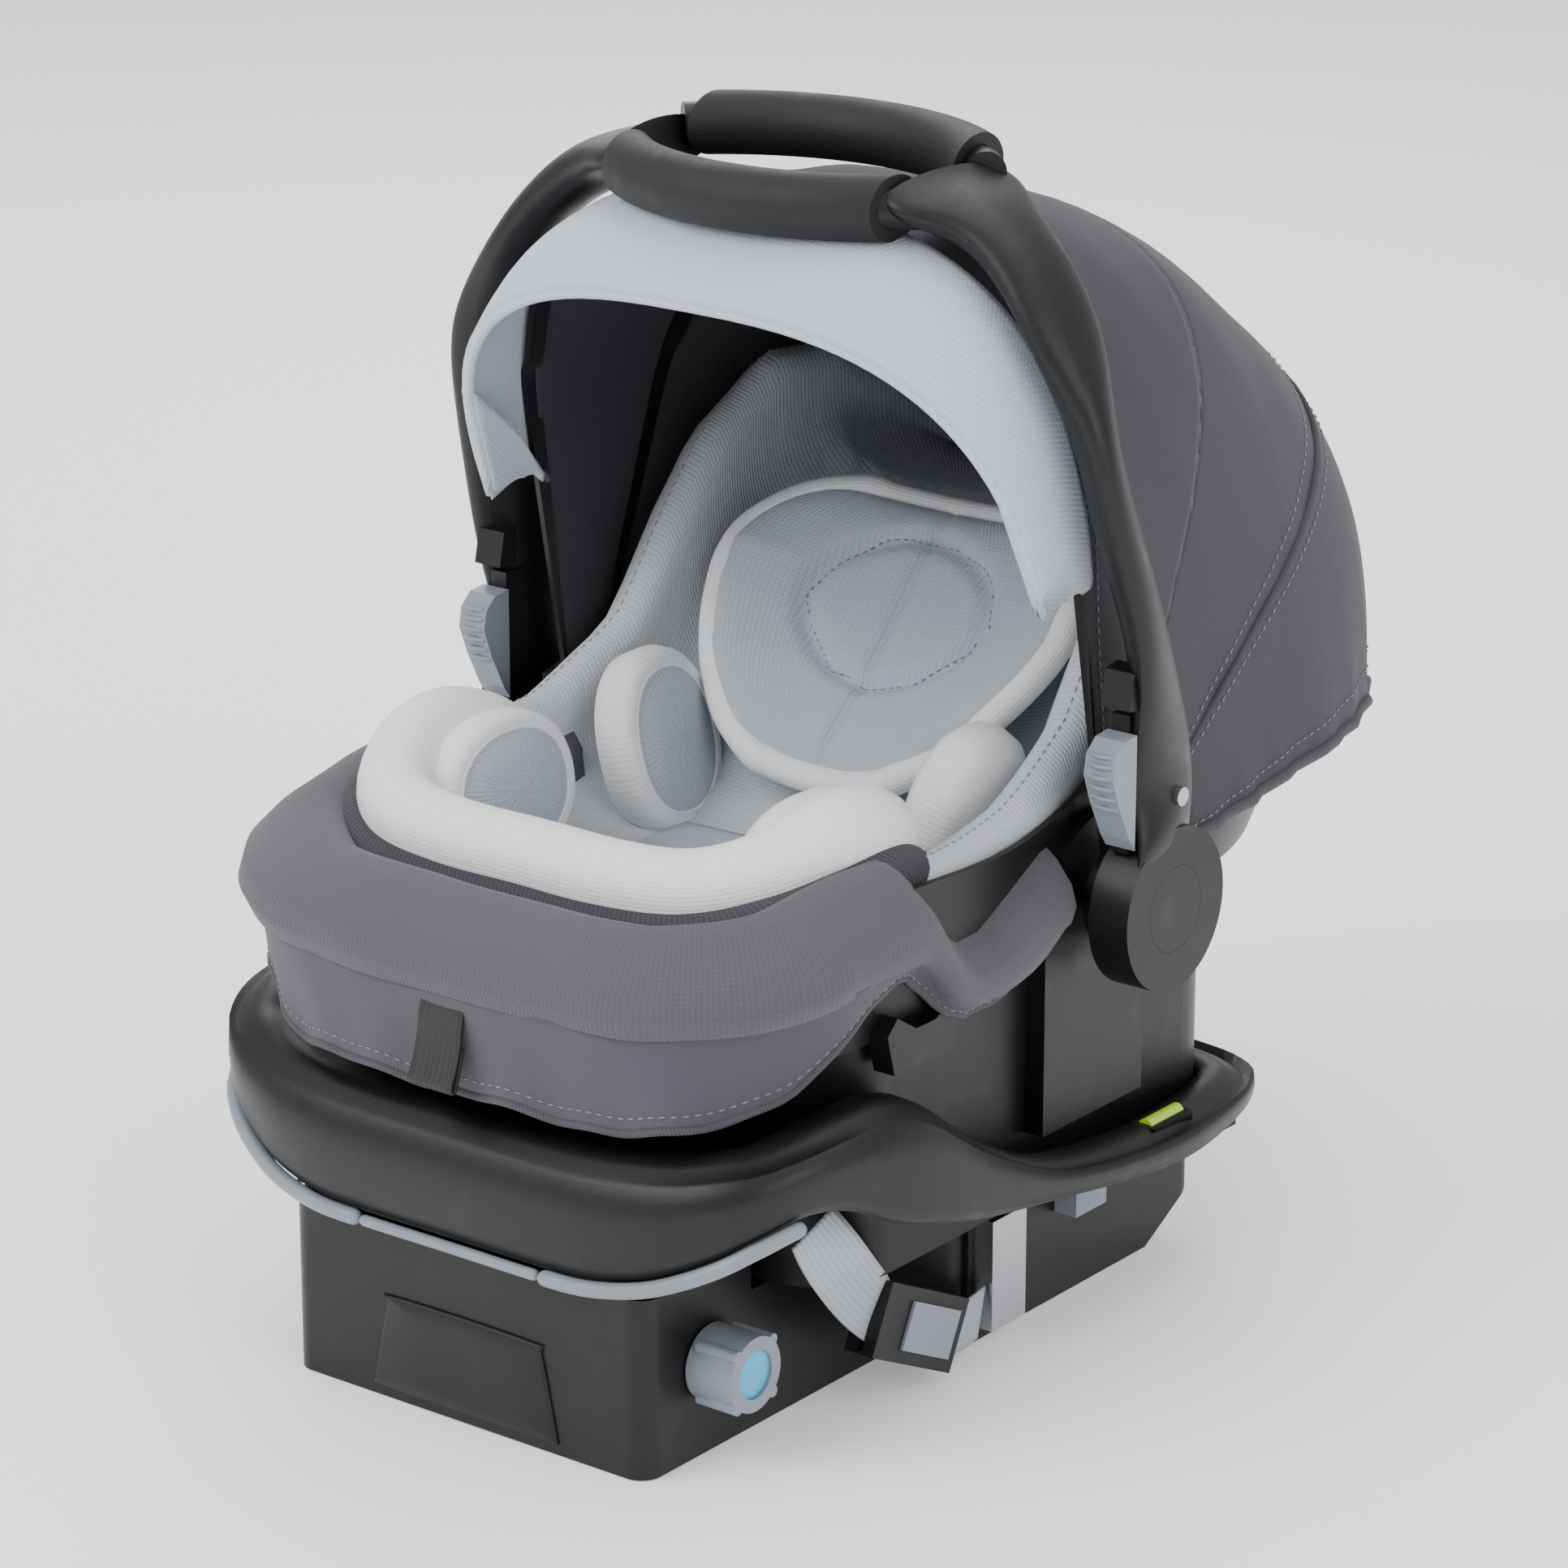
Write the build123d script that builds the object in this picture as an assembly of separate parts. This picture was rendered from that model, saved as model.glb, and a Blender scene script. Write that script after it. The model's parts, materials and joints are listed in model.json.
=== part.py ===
from build123d import *
import math
import os

os.makedirs("parts", exist_ok=True)

# Infant car seat on its base.  Millimetres, +Z up, the feet end towards -Y, the head end
# towards +Y.  The origin is on the floor, under the axis of the carrying handle.

# ---- overall sizes ----
AXIS_Z = 240.0            # handle and canopy axis above the floor
HUB_OUT = 222.0           # outer face of the handle hub, from the middle plane
CANOPY_R = 349.0          # outer radius of the canopy about the axis
BASE_FRONT = -317.0       # front of the base
BASE_REAR = 166.0         # rear of the base rim
RIM_HALF = 204.0          # half width of the base rim
SEAT_FRONT = -308.0       # front of the carrier shell at its rim
SEAT_REAR = 322.0         # rear of the carrier shell at its rim
SEAT_HALF = 179.0         # half width of the carrier shell in front of the handle
WAIST_HALF = 170.0        # half width of the carrier shell behind the handle

# ---- walls and clearances ----
WALL = 4.0                # moulded walls
GAP = 0.4                 # between soft pieces and what carries them
RUN = 0.06                # radial clearance of a pin in its bore
CLOTH = 3.0               # thickness of the padded canopy fabric

# ---- hub stack, outwards from the shell, each side ----
HUB_R = 44.0
HUB_IN = 198.0
PIN_R = 9.0
PIVOT_R = 27.0            # canopy pivot discs
BOSS_FACE = 176.0         # outer face of the boss on the shell
DISC_T = 6.0              # thickness of one canopy pivot disc
DISC_STEP = 7.0           # from one disc to the next
FIRST_DISC = 182.5        # inner face of the front bow's disc

# ---- handle ----
GRIP_HALF = 86.0          # half length of the sleeves
CORE_R = 11.0             # bar inside a sleeve
SLEEVE_R = 17.0
FRONT_BAR = (-93.0, 600.0)     # Y and Z of the front bar at the middle
REAR_BAR = (40.0, 609.0)
BAR_END_FRONT = -52.0     # Y of the front bar past its sleeve
BAR_END_REAR = -2.0

# ---- belly of the carrier and its seat in the base ----
DECK_Z = 80.0             # upper face of the deck that carries the belly
DECK_T = 4.0
BELLY_HALF = 164.0
BELLY_FRONT = -214.0
BELLY_REAR = 138.0
BELLY_TOP = 216.0
BELLY_CLEAR = 3.5         # belly to the walls of its well
BELLY_CORNER = 42.0

# ---- tub of the base ----
TUB_HALF_FRONT = 118.0
TUB_HALF_REAR = 146.0
TUB_REAR = 138.0
TUB_LIFT = 92.0           # where the underside starts to rise towards the rear
TUB_RISE = 26.0           # how far it has risen at the rear
TUB_CORNER = 12.0
STRIP_Z = 104.0           # middle of the trim strip
STRIP_H = 13.0
STRIP_END = -262.0        # where the strip ends on each side

# ---- canopy angles about the axis, from upright, rearward positive ----
VISOR_A0 = -21.5
BOW_A0 = -10.5
BOW_A1 = -7.5
MID_A0 = 18.5
MID_A1 = 21.5
REAR_A0 = 50.0
REAR_A1 = 82.0

AXIS = Axis((0, 0, AXIS_Z), (1, 0, 0))
SIDES = (("right", 1), ("left", -1))


def save(name, shape):
    """Write one named piece."""
    export_step(shape, f"parts/{name}.step")


def block(x0, x1, y0, y1, z0, z1):
    """A box between two corners."""
    return Pos((x0 + x1) / 2, (y0 + y1) / 2, (z0 + z1) / 2) * Box(x1 - x0, y1 - y0, z1 - z0)


def slab(points, x0, x1, smooth=False):
    """A side outline of (y, z) points, pushed out along X from x0 to x1."""
    at = [(x0, y, z) for y, z in points]
    line = Spline(*at, periodic=True) if smooth else Polyline(*at, close=True)
    return extrude(make_face(line), amount=x1 - x0, dir=(1, 0, 0))


def side_band(upper, lower, half):
    """The region between two side curves, each a list of (y, z) from front to rear."""
    up = Spline(*[(-half, y, z) for y, z in upper])
    low = Spline(*[(-half, y, z) for y, z in lower])
    front = Line(low @ 0, up @ 0)
    rear = Line(up @ 1, low @ 1)
    return extrude(make_face([up, rear, low, front]), amount=2 * half, dir=(1, 0, 0))


def rod(x0, x1, radius, y=0.0, z=AXIS_Z):
    """A round bar along X."""
    return Pos((x0 + x1) / 2, y, z) * Rot(0, 90, 0) * Cylinder(radius, abs(x1 - x0))


def mirrored(points):
    """A closed plan outline from its right half, front to rear, ends on the middle line."""
    return points + [(-x, y) for x, y in reversed(points[1:-1])]


def plan_face(points, z):
    return make_face(Spline(*[(x, y, z) for x, y in mirrored(points)], periodic=True))


# ---------------------------------------------------------------- carrier outlines
def seat_outline(front, rear, half, waist):
    """Right half of the seat's plan: full in front of the handle, slimmer behind it."""
    return [(0, front), (0.45 * half, front + 3), (0.70 * half, front + 16), (0.93 * half, front + 57),
            (0.985 * half, front + 112),
            (half, -115), (waist + 0.3 * (half - waist), -45), (waist, 15), (0.98 * waist, 105),
            (0.91 * waist, rear - 115), (0.75 * waist, rear - 58), (0.44 * waist, rear - 14), (0, rear)]


def bucket(grow, low=BELLY_TOP - WALL):
    """The upper bucket of the seat, its walls moved outwards by grow."""
    faces = []
    for z, front, rear, side in ((low, 13, -42, -7), (262, 3, -18, -1), (345, 0, -2, 0), (470, 0, 0, 0)):
        faces.append(plan_face(seat_outline(SEAT_FRONT + front - grow, SEAT_REAR + rear + grow,
                                            SEAT_HALF + side + grow, WAIST_HALF + side + grow), z))
    return loft(faces)


RIM_LINE = [(SEAT_FRONT - 30, 262), (-300, 270), (-250, 282), (-150, 288), (-60, 286), (0, 304), (40, 350),
            (75, 390), (130, 422), (185, 420), (240, 393), (285, 352), (SEAT_REAR + 40, 285)]
FLOOR_LINE = [(SEAT_FRONT - 30, 240), (-255, 240), (-205, 232), (-150, 214), (-60, 204), (0, 214), (80, 262),
              (160, 300), (225, 318), (270, 310), (SEAT_REAR + 40, 270)]
PAD_T = 14.0
FOAM_T = 24.0
PAD_WALL = 15.0


def raised(line, dz):
    return [(y, z + dz) for y, z in line]


def under(line, dz, half=230.0, floor=-20.0):
    """Everything below a side curve moved by dz."""
    return side_band(raised(line, dz), [(line[0][0], floor), (0, floor), (line[-1][0], floor)], half)


def over(line, dz, half=230.0, top=640.0):
    return side_band([(line[0][0], top), (0, top), (line[-1][0], top)], raised(line, dz), half)


def belly(grow, z0, z1):
    width = 2 * (BELLY_HALF + grow)
    length = BELLY_REAR - BELLY_FRONT + 2 * grow
    return extrude(Pos(0, (BELLY_REAR + BELLY_FRONT) / 2, z0) *
                   RectangleRounded(width, length, BELLY_CORNER + grow), amount=z1 - z0)


# ---------------------------------------------------------------- base
RIM_OUTLINE = [(0, BASE_FRONT), (90, BASE_FRONT + 1), (138, -307), (170, -289), (188, -258), (197, -205),
               (RIM_HALF - 2, -130), (RIM_HALF, -20), (RIM_HALF - 4, 63), (188, 122), (146, BASE_REAR - 8),
               (0, BASE_REAR)]
RIM_TOP = [(BASE_FRONT - 10, 170), (-290, 180), (-250, 190), (-213, 193), (-176, 180), (-131, 148),
           (-70, 116), (8, 105), (90, 102), (BASE_REAR + 10, 98)]
RIM_LOW = [(BASE_FRONT - 10, STRIP_Z), (-292, STRIP_Z), (-270, 118), (-248, 150), (-226, 136), (-190, 121),
           (-151, 111), (-80, 98), (-20, 86), (63, 80), (119, 84), (BASE_REAR + 10, 80)]
TUB_FRONT = BASE_FRONT + 10


def tub(grow, z0, z1):
    """The lower body of the base: narrow in front, wider under the parked connectors."""
    front, rear = TUB_FRONT - grow, TUB_REAR + grow
    half, wide = TUB_HALF_FRONT + grow, TUB_HALF_REAR + grow
    right = [(half, front), (half, -112), (wide, -84), (wide, rear)]
    line = Polyline(*[(x, y, z0) for x, y in right + [(-x, y) for x, y in reversed(right)]], close=True)
    body = extrude(make_face(line), amount=z1 - z0, dir=(0, 0, 1))
    upright = body.edges().filter_by(lambda e: abs((e @ 0).Z - (e @ 1).Z) > z1 - z0 - 1)
    body = fillet(upright, TUB_CORNER + grow)
    return body & slab([(front - 1, z0), (TUB_LIFT, z0), (rear + 1, max(z0, TUB_RISE - 2 * grow)),
                        (rear + 1, z1), (front - 1, z1)], -260, 260)


def offset_outline(points, grow):
    """The plan outline moved outwards, away from a point near its middle."""
    out = []
    for x, y in points:
        away = math.hypot(x, y + 70)
        out.append((x * (1 + grow / away), y + (y + 70) * grow / away))
    return out


def rim_solid(grow, z0, z1):
    return extrude(plan_face(offset_outline(RIM_OUTLINE, grow), z0), amount=z1 - z0)


def make_base():
    well = belly(BELLY_CLEAR, DECK_Z, 300)
    body = tub(0, 0, STRIP_Z - STRIP_H / 2) - tub(-WALL, WALL, STRIP_Z + 1)
    deck_cut = block(-250, 250, BELLY_FRONT - BELLY_CLEAR - WALL, 400, DECK_Z - DECK_T, 400)
    save("base_lower_shell", body - deck_cut - knob_bore(KNOB_STEM_R + RUN) - side_button_hole(0.3))

    ring = rim_solid(2.5, STRIP_Z - STRIP_H / 2, STRIP_Z) - rim_solid(-5.5, 60, 200)
    front = ring & block(-170, 170, BASE_FRONT - 10, STRIP_END, 60, 200)
    ends = front - block(-62, 62, -400, 0, 0, 300)
    middle = rim_solid(1.5, STRIP_Z - STRIP_H / 2 + 2, STRIP_Z) - rim_solid(-5.5, 60, 200)
    middle = middle & block(-61.8, 61.8, -400, STRIP_END, 0, 300)
    save("base_trim_strip", ends)
    save("base_trim_centre", middle)

    band = side_band(RIM_TOP, RIM_LOW, 260)
    skirt = (rim_solid(0, 60, 220) & band) - well
    hollow = (rim_solid(-WALL, 60, 220) & side_band(raised(RIM_TOP, -WALL), raised(RIM_LOW, -30), 260))
    skirt = skirt - (hollow - belly(BELLY_CLEAR + WALL, 60, 300))
    deck = belly(BELLY_CLEAR + WALL, DECK_Z - DECK_T, 240) & under(RIM_TOP, -0.2)
    below = block(-260, 260, -400, -200, 60, STRIP_Z - STRIP_H / 2 + 0.05)
    rim = (skirt + (deck - well)) - vial_pocket(0.3) - below - ends - middle
    save("base_rim", rim)
    pads = Compound([block(s * 178 - 8, s * 178 + 8, 98, 118, 74, 84) for s in (-1, 1)])
    save("rim_rest_pads", pads - rim)


# ---------------------------------------------------------------- recline control
KNOB_Y = -256.0
KNOB_Z = 50.0
KNOB_R = 20.0
KNOB_FACE = 148.0         # outer face of the ring
KNOB_BACK = 119.0
KNOB_STEM_R = 12.0
CAP_R = 13.0              # push button inside the ring


def knob_bore(radius):
    return rod(80, KNOB_BACK + 0.5, radius, KNOB_Y, KNOB_Z)


def make_recline_control():
    ring = rod(KNOB_BACK, KNOB_FACE, KNOB_R, KNOB_Y, KNOB_Z)
    ring = ring - rod(KNOB_FACE - 12, KNOB_FACE + 1, CAP_R + RUN, KNOB_Y, KNOB_Z)
    ring = ring + rod(KNOB_BACK - 22, KNOB_BACK, KNOB_STEM_R, KNOB_Y, KNOB_Z)
    for i in range(4):
        a = math.radians(45 + 90 * i)
        rib = (KNOB_Y + KNOB_R * math.cos(a), KNOB_Z + KNOB_R * math.sin(a))
        ring += rod(KNOB_BACK + 4, KNOB_FACE, 3.2, *rib)
    ring -= rod(KNOB_BACK - 30, KNOB_FACE - 5, 4.0 + RUN, KNOB_Y, KNOB_Z)
    save("recline_dial", ring)
    button = rod(KNOB_FACE - 8, KNOB_FACE - 2, CAP_R, KNOB_Y, KNOB_Z)
    button += rod(KNOB_BACK - 26, KNOB_FACE - 8, 4.0, KNOB_Y, KNOB_Z)
    save("recline_button", button)


# ---------------------------------------------------------------- level vial
VIAL_Y = 42.0
VIAL_X = 188.0
VIAL_L = 30.0
VIAL_R = 4.5


def vial_pocket(grow):
    half = VIAL_L / 2 + 3 + grow
    return block(VIAL_X - 8 - grow, VIAL_X + 8 + grow, VIAL_Y - half, VIAL_Y + half, 97, 120)


def make_vial():
    half = VIAL_L / 2 + 3
    tube = Pos(VIAL_X, VIAL_Y, 102) * Rot(90, 0, 0) * Cylinder(VIAL_R, VIAL_L)
    bezel = block(VIAL_X - 8, VIAL_X + 8, VIAL_Y - half, VIAL_Y + half, 97.3, 103.5) - tube
    save("level_bezel", bezel - block(VIAL_X - 4, VIAL_X + 4, VIAL_Y - 13, VIAL_Y + 13, 101, 120))
    save("level_vial", tube - Pos(VIAL_X, VIAL_Y, 102) * Rot(90, 0, 0) * Cylinder(VIAL_R - 1, VIAL_L - 3))
    save("level_bubble", Pos(VIAL_X, VIAL_Y, 102) * Rot(90, 0, 0) * Cylinder(VIAL_R - 1.3, 8))


# ---------------------------------------------------------------- lower anchor hardware
DOCK_X = 146.5            # inner face of the parked hardware
CONN_Y = -58.0
CONN_W = 30.0
CONN_T = 12.0
BUCKLE_Y = -142.0
BUCKLE_Z = 40.0
CONN_TOP = 74.0
STRAP_T = 1.8
STRAP_UPPER = [(-247, 118), (-213, 118), (-208, 74.5), (-160, 74.5), (-172, 36), (-214, 58)]
STRAP_LOWER = [(-112, 14), (-70, 8), (-70, 40), (-104, 50)]


def buckle_place(side):
    return Pos(side * (DOCK_X + 11), BUCKLE_Y, BUCKLE_Z) * Rot(X=-26)


def make_anchors():
    """Webbing, adjuster and parked connector of the lower anchor belt, on each side."""
    for name, s in SIDES:
        place = buckle_place(s)
        body = Box(18, 74, 40) - Pos(s * 6, 8, 0) * Box(8, 44 + 0.4, 26 + 0.4) - Box(3.2, 80, 36)
        save(f"anchor_adjuster_{name}", place * body)
        save(f"adjuster_button_{name}", place * Pos(s * 7.6, 8, 0) * Box(6, 44, 26))
        x0, x1 = sorted((s * (DOCK_X + 3), s * (DOCK_X + 3 + CONN_T)))
        plate = block(x0, x1, CONN_Y - CONN_W / 2, CONN_Y + CONN_W / 2, 12, CONN_TOP)
        plate -= block(x0 + 3, x1 - 3, CONN_Y - 8, CONN_Y + 8, CONN_TOP - 16, CONN_TOP + 9)
        plate -= block(x0 + 3, x1 - 3, CONN_Y - 6, CONN_Y + 20, 26, 42)
        save(f"anchor_connector_{name}", plate)
        save(f"connector_release_{name}", block(x0 + 3.2, x1 - 3.2, CONN_Y - 5.8, CONN_Y + 18, 26.3, 38))
        keep_off = place * Box(19, 74.6, 40.6)
        keep_off += block(x0 - 0.3, x1 + 0.3, CONN_Y - 15.3, CONN_Y + 15.3, 0, 80)
        mid = s * (DOCK_X + 11)
        upper = slab(STRAP_UPPER, mid - STRAP_T / 2, mid + STRAP_T / 2) - keep_off
        lower = slab(STRAP_LOWER, mid - STRAP_T / 2, mid + STRAP_T / 2) - keep_off
        save(f"anchor_strap_{name}", Compound([upper, lower]))
        dock = block(*sorted((s * 140, s * (DOCK_X + 2.8))), CONN_Y - 20, CONN_Y + 22, 12, CONN_TOP - 2)
        save(f"connector_dock_{name}", dock - tub(0.05, -1, 200))


SIDE_BUTTON = (5.0, 33.0, 50.0, 70.0)


def side_button_hole(grow):
    y0, y1, z0, z1 = SIDE_BUTTON
    return block(120, 200, y0 - grow, y1 + grow, z0 - grow, z1 + grow)


def make_side_button():
    y0, y1, z0, z1 = SIDE_BUTTON
    body = block(128, 160, y0, y1, z0, z1)
    save("carrier_lock_button", body)


make_base()
make_recline_control()
make_vial()
make_anchors()
make_side_button()


# ---------------------------------------------------------------- carrier
PILLAR_FRONT = -50.0
PILLAR_BACK = 40.0


def hub_zone(radius, x0=150.0, x1=260.0):
    """Round space about the axis, both sides."""
    return rod(x0, x1, radius) + rod(-x1, -x0, radius)


def make_shell():
    outer = (bucket(0) & under(RIM_LINE, 0)) + belly(0, DECK_Z, BELLY_TOP)
    inner = bucket(-WALL, BELLY_TOP) + belly(-WALL, DECK_Z + WALL, BELLY_TOP + 1)
    for _, s in SIDES:
        x0, x1 = sorted((s * 150, s * BOSS_FACE))
        outer += block(x0, x1, PILLAR_FRONT, PILLAR_BACK, 118, AXIS_Z)
        outer += rod(s * 150, s * BOSS_FACE, HUB_R)
    shell = outer - (inner - hub_zone(HUB_R, 150, 166))
    for _, s in SIDES:
        shell -= rod(s * 140, s * 200, PIN_R + RUN)
    save("carrier_shell", shell)
    for name, s in SIDES:
        pin = rod(s * 152, s * (HUB_OUT - 4), PIN_R)
        save(f"hub_pin_{name}", pin)
        line = slab([(150, 236), (262, 300), (262, 304), (150, 240)], *sorted((s * 100, s * 200)))
        accent = line & (bucket(1.2) - bucket(0.05))
        save(f"shell_accent_{name}", accent)


def make_foam():
    zone = bucket(-WALL - 0.3, BELLY_TOP + 0.3)
    foam = zone & under(FLOOR_LINE, 0) & over(FLOOR_LINE, -FOAM_T)
    save("foam_liner", foam - hub_zone(HUB_R + 1, 140, 200))


def make_pad():
    zone = bucket(-WALL - 0.7, BELLY_TOP)
    pad = zone & over(FLOOR_LINE, GAP) & under(RIM_LINE, -2)
    well = bucket(-WALL - PAD_WALL, BELLY_TOP) & over(FLOOR_LINE, PAD_T)
    save("seat_pad", pad - well - hub_zone(HUB_R + 1, 140, 200))


HEM_LINE = [(SEAT_FRONT - 30, 180), (-290, 188), (-235, 216), (-205, 236), (-170, 242), (-145, 232),
            (-100, 226), (-20, 226)]


def wall_prism(grow):
    """The seat's rim outline moved outwards by grow and pushed straight up."""
    outline = seat_outline(SEAT_FRONT - grow, SEAT_REAR + grow, SEAT_HALF + grow, WAIST_HALF + grow)
    return extrude(plan_face(outline, 150), amount=250)


COVER_T = 6.0             # padded skirt of the seat cover
COVER_GAP = 1.4           # skirt to the shell
COVER_ROLL = 14.0         # its roll above the rim


def make_cover():
    region = over(HEM_LINE, 0) & under(RIM_LINE, COVER_ROLL)
    region &= block(-230, 230, -400, PILLAR_FRONT - GAP, 100, 400)
    ring = wall_prism(COVER_GAP + COVER_T) - wall_prism(-WALL - PAD_WALL + 5)
    cover = (ring & region) - (wall_prism(COVER_GAP) & under(RIM_LINE, GAP))
    save("seat_cover", cover - hub_zone(HUB_R + 2, 150, 230))


TAIL_HALF = 13.0


def make_tail():
    back = SEAT_FRONT - COVER_GAP - COVER_T - 0.5
    strap = block(-TAIL_HALF, TAIL_HALF, back - 1.8, back, 194, 240)
    save("adjuster_strap", strap)


INSERT_OUTLINE = [(0, -240), (80, -232), (122, -196), (137, -120), (139, -20), (124, 44), (60, 58), (0, 60)]
INSERT_HOLLOW = [(0, -184), (62, -170), (92, -96), (90, -6), (84, 74), (0, 104)]


def make_inserts():
    crown = [(-270, 284), (-220, 298), (-150, 314), (-80, 314), (0, 322), (80, 352)]
    roll = extrude(plan_face(INSERT_OUTLINE, 180), amount=180)
    roll = roll & under(crown, 0) & over(FLOOR_LINE, PAD_T + GAP)
    hollow = extrude(plan_face(INSERT_HOLLOW, 150), amount=300) & over(FLOOR_LINE, PAD_T + 34)
    save("body_insert", roll - hollow)
    zone = bucket(-WALL - PAD_WALL - 3, BELLY_TOP) & over(FLOOR_LINE, PAD_T + GAP)
    top = [(62, 345), (130, 380), (200, 392), (300, 352)]
    head = zone & under(top, 0) & block(-118, 118, 64, 250, 200, 460)
    dent = [(0, -100), (52, -80), (70, 0), (58, 64), (0, 86)]
    dent = Pos(0, 150, 0) * extrude(plan_face(dent, 200), amount=300)
    save("head_insert", head - (dent & over(FLOOR_LINE, PAD_T + 18)))




def make_belt_hooks():
    """Open hooks on the shell's sides that a vehicle belt passes through."""
    for name, s in SIDES:
        x0, x1 = sorted((s * 168, s * 181))
        plate = slab([(-186, 196), (-136, 196), (-132, 214), (-140, 222), (-152, 216), (-168, 216),
                      (-184, 226), (-192, 218)], x0, x1)
        save(f"belt_hook_{name}", plate - bucket(0.05))


def make_release_trigger():
    """Squeeze trigger under the head end that frees the carrier from its base."""
    floor = BELLY_TOP - WALL
    lever = block(-45, 45, 190, 236, floor - 8, floor - 0.3) + block(-45, 45, 214, 228, floor - 22, floor - 8)
    save("release_trigger", lever)


make_belt_hooks()
make_release_trigger()
make_shell()
make_foam()
make_pad()
make_cover()
make_tail()
make_inserts()


# ---------------------------------------------------------------- handle
BUTTON_BACK = -31.0       # back of the release buttons, which slide on rails of the arms
BUTTON_X = (199.0, 217.0)
# stations along the right arm: centre (x, y, z), long and short diameters, turn of the long one
ARM = [((210, 2, 246), 62, 20, 0), ((210, 1, 300), 56, 20, 4), ((210, -5, 352), 52, 21, 16),
       ((208, -20, 408), 48, 22, 30), ((203, -34, 452), 46, 23, 36), ((195, -42, 496), 46, 24, 40),
       ((179, -42, 538), 48, 25, 46), ((152, -36, 572), 54, 26, 62), ((120, -30, 593), 70, 27, 78),
       ((GRIP_HALF + 4, -27, 604), 92, 27, 88)]


def arm_solid():
    """The right arm of the handle, from its hub up to where the two bars start."""
    faces = []
    for i, (centre, long_d, short_d, turn) in enumerate(ARM):
        low, high = ARM[max(i - 1, 0)][0], ARM[min(i + 1, len(ARM) - 1)][0]
        along = (Vector(*high) - Vector(*low)).normalized() if i else Vector(0, 0, 1)
        a = math.radians(turn)
        wide = Vector(math.sin(a), -math.cos(a), 0) if i < 6 else Vector(0, -1, 0)
        wide = (wide - along * wide.dot(along)).normalized()
        faces.append(Plane(Vector(*centre), x_dir=wide, z_dir=along) * Ellipse(long_d / 2, short_d / 2))
    return loft(faces)


def make_handle():
    arm = arm_solid() - block(100, 300, -60, 60, 100, AXIS_Z + 10) + rod(HUB_IN, HUB_OUT, HUB_R)
    arm += block(BUTTON_X[0] + 2, BUTTON_X[1] - 5, BUTTON_BACK + GAP, -12, 276, 350)
    arch = arm + arm.mirror(Plane.YZ)
    grips = []
    for (y, z), end, name in ((FRONT_BAR, BAR_END_FRONT, "front"), (REAR_BAR, BAR_END_REAR, "rear")):
        x1 = GRIP_HALF + 12
        path = ThreePointArc((-x1, end, z), (0, y, z), (x1, end, z))
        start = Plane(path @ 0, z_dir=path % 0)
        arch += sweep(start * Circle(CORE_R), path=path)
        ring = start * (Circle(SLEEVE_R) - Circle(CORE_R))
        sleeve = sweep(ring, path=path) & block(-GRIP_HALF, GRIP_HALF, -200, 200, 500, 700)
        grips.append((f"{name}_grip", sleeve))
    for _, s in SIDES:
        arch -= rod(s * (HUB_IN - 1), s * (HUB_OUT - 3.9), PIN_R + RUN)
        arch -= rod(s * (HUB_OUT - 3), s * (HUB_OUT + 1), 23.2)
    save("handle_arch", arch)
    for name, shape in grips:
        save(name, shape - arch)
    for name, s in SIDES:
        save(f"hub_cap_{name}", rod(s * (HUB_OUT - 3), s * HUB_OUT, 23.0))
        x0, x1 = sorted((s * BUTTON_X[0], s * BUTTON_X[1]))
        cap = slab([(-24, 353), (-24, 376), (-34, 374), (-38, 355)], x0, x1)
        save(f"arm_cap_{name}", cap - arch)
    screws = [rod(s * (HUB_OUT - 4), s * (HUB_OUT + 0.5), 5.0, 4, 300) for _, s in SIDES]
    save("arm_screws", Compound(screws) - arch)


BUTTON = [(BUTTON_BACK, 279), (-36, 286), (-46, 306), (-52, 322), (-50, 333), (-42, 340), (BUTTON_BACK, 341)]


def make_release_buttons():
    for name, s in SIDES:
        x0, x1 = sorted((s * BUTTON_X[0], s * BUTTON_X[1]))
        save(f"release_button_{name}", slab(BUTTON, x0, x1))


make_handle()
make_release_buttons()


# ---------------------------------------------------------------- canopy
# cross-section of the canopy, as (half width, distance from the axis), from its hem to its crown
def canopy_profile(half, reach, hem):
    return [(half, hem), (half, 0.57 * reach), (0.975 * half, 0.69 * reach), (0.91 * half, 0.80 * reach),
            (0.79 * half, 0.88 * reach), (0.62 * half, 0.945 * reach), (0.33 * half, 0.985 * reach),
            (0, reach)]


def canopy_face(half, reach, hem, thick, angle):
    """A thin arch section, standing at an angle about the axis."""
    def curve(points):
        right = [(x, 0, r) for x, r in points[1:]]
        left = [(-x, 0, r) for x, r in reversed(points[1:-1])]
        crown = Spline(*right, *left, tangents=[(0, 0, 1), (0, 0, -1)])
        (x0, r0), (x1, r1) = points[:2]
        return [Line((x0, 0, r0), (x1, 0, r1)), crown, Line((-x1, 0, r1), (-x0, 0, r0))]
    out = canopy_profile(half, reach, hem)
    inn = canopy_profile(half - thick, reach - thick, hem)
    ends = [Line((s * half, 0, hem), (s * (half - thick), 0, hem)) for s in (1, -1)]
    face = make_face(curve(out) + curve(inn) + ends)
    return Pos(0, 0, AXIS_Z) * Rot(X=-angle) * face


def arch_shell(half, reach, hem, thick, a0, a1):
    """A slice of canopy between two angles about the axis."""
    return revolve(canopy_face(half, reach, hem, thick, a0), AXIS, -(a1 - a0))


CANOPY_HALF = 179.5
VISOR_HEM = 175.0
BOW_T = 3.2               # thickness of a bow
LEG_HALF = 8.0            # half width of a bow's leg beside the hub
CROSS = 10.0              # width of the step from the arch to its leg


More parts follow.
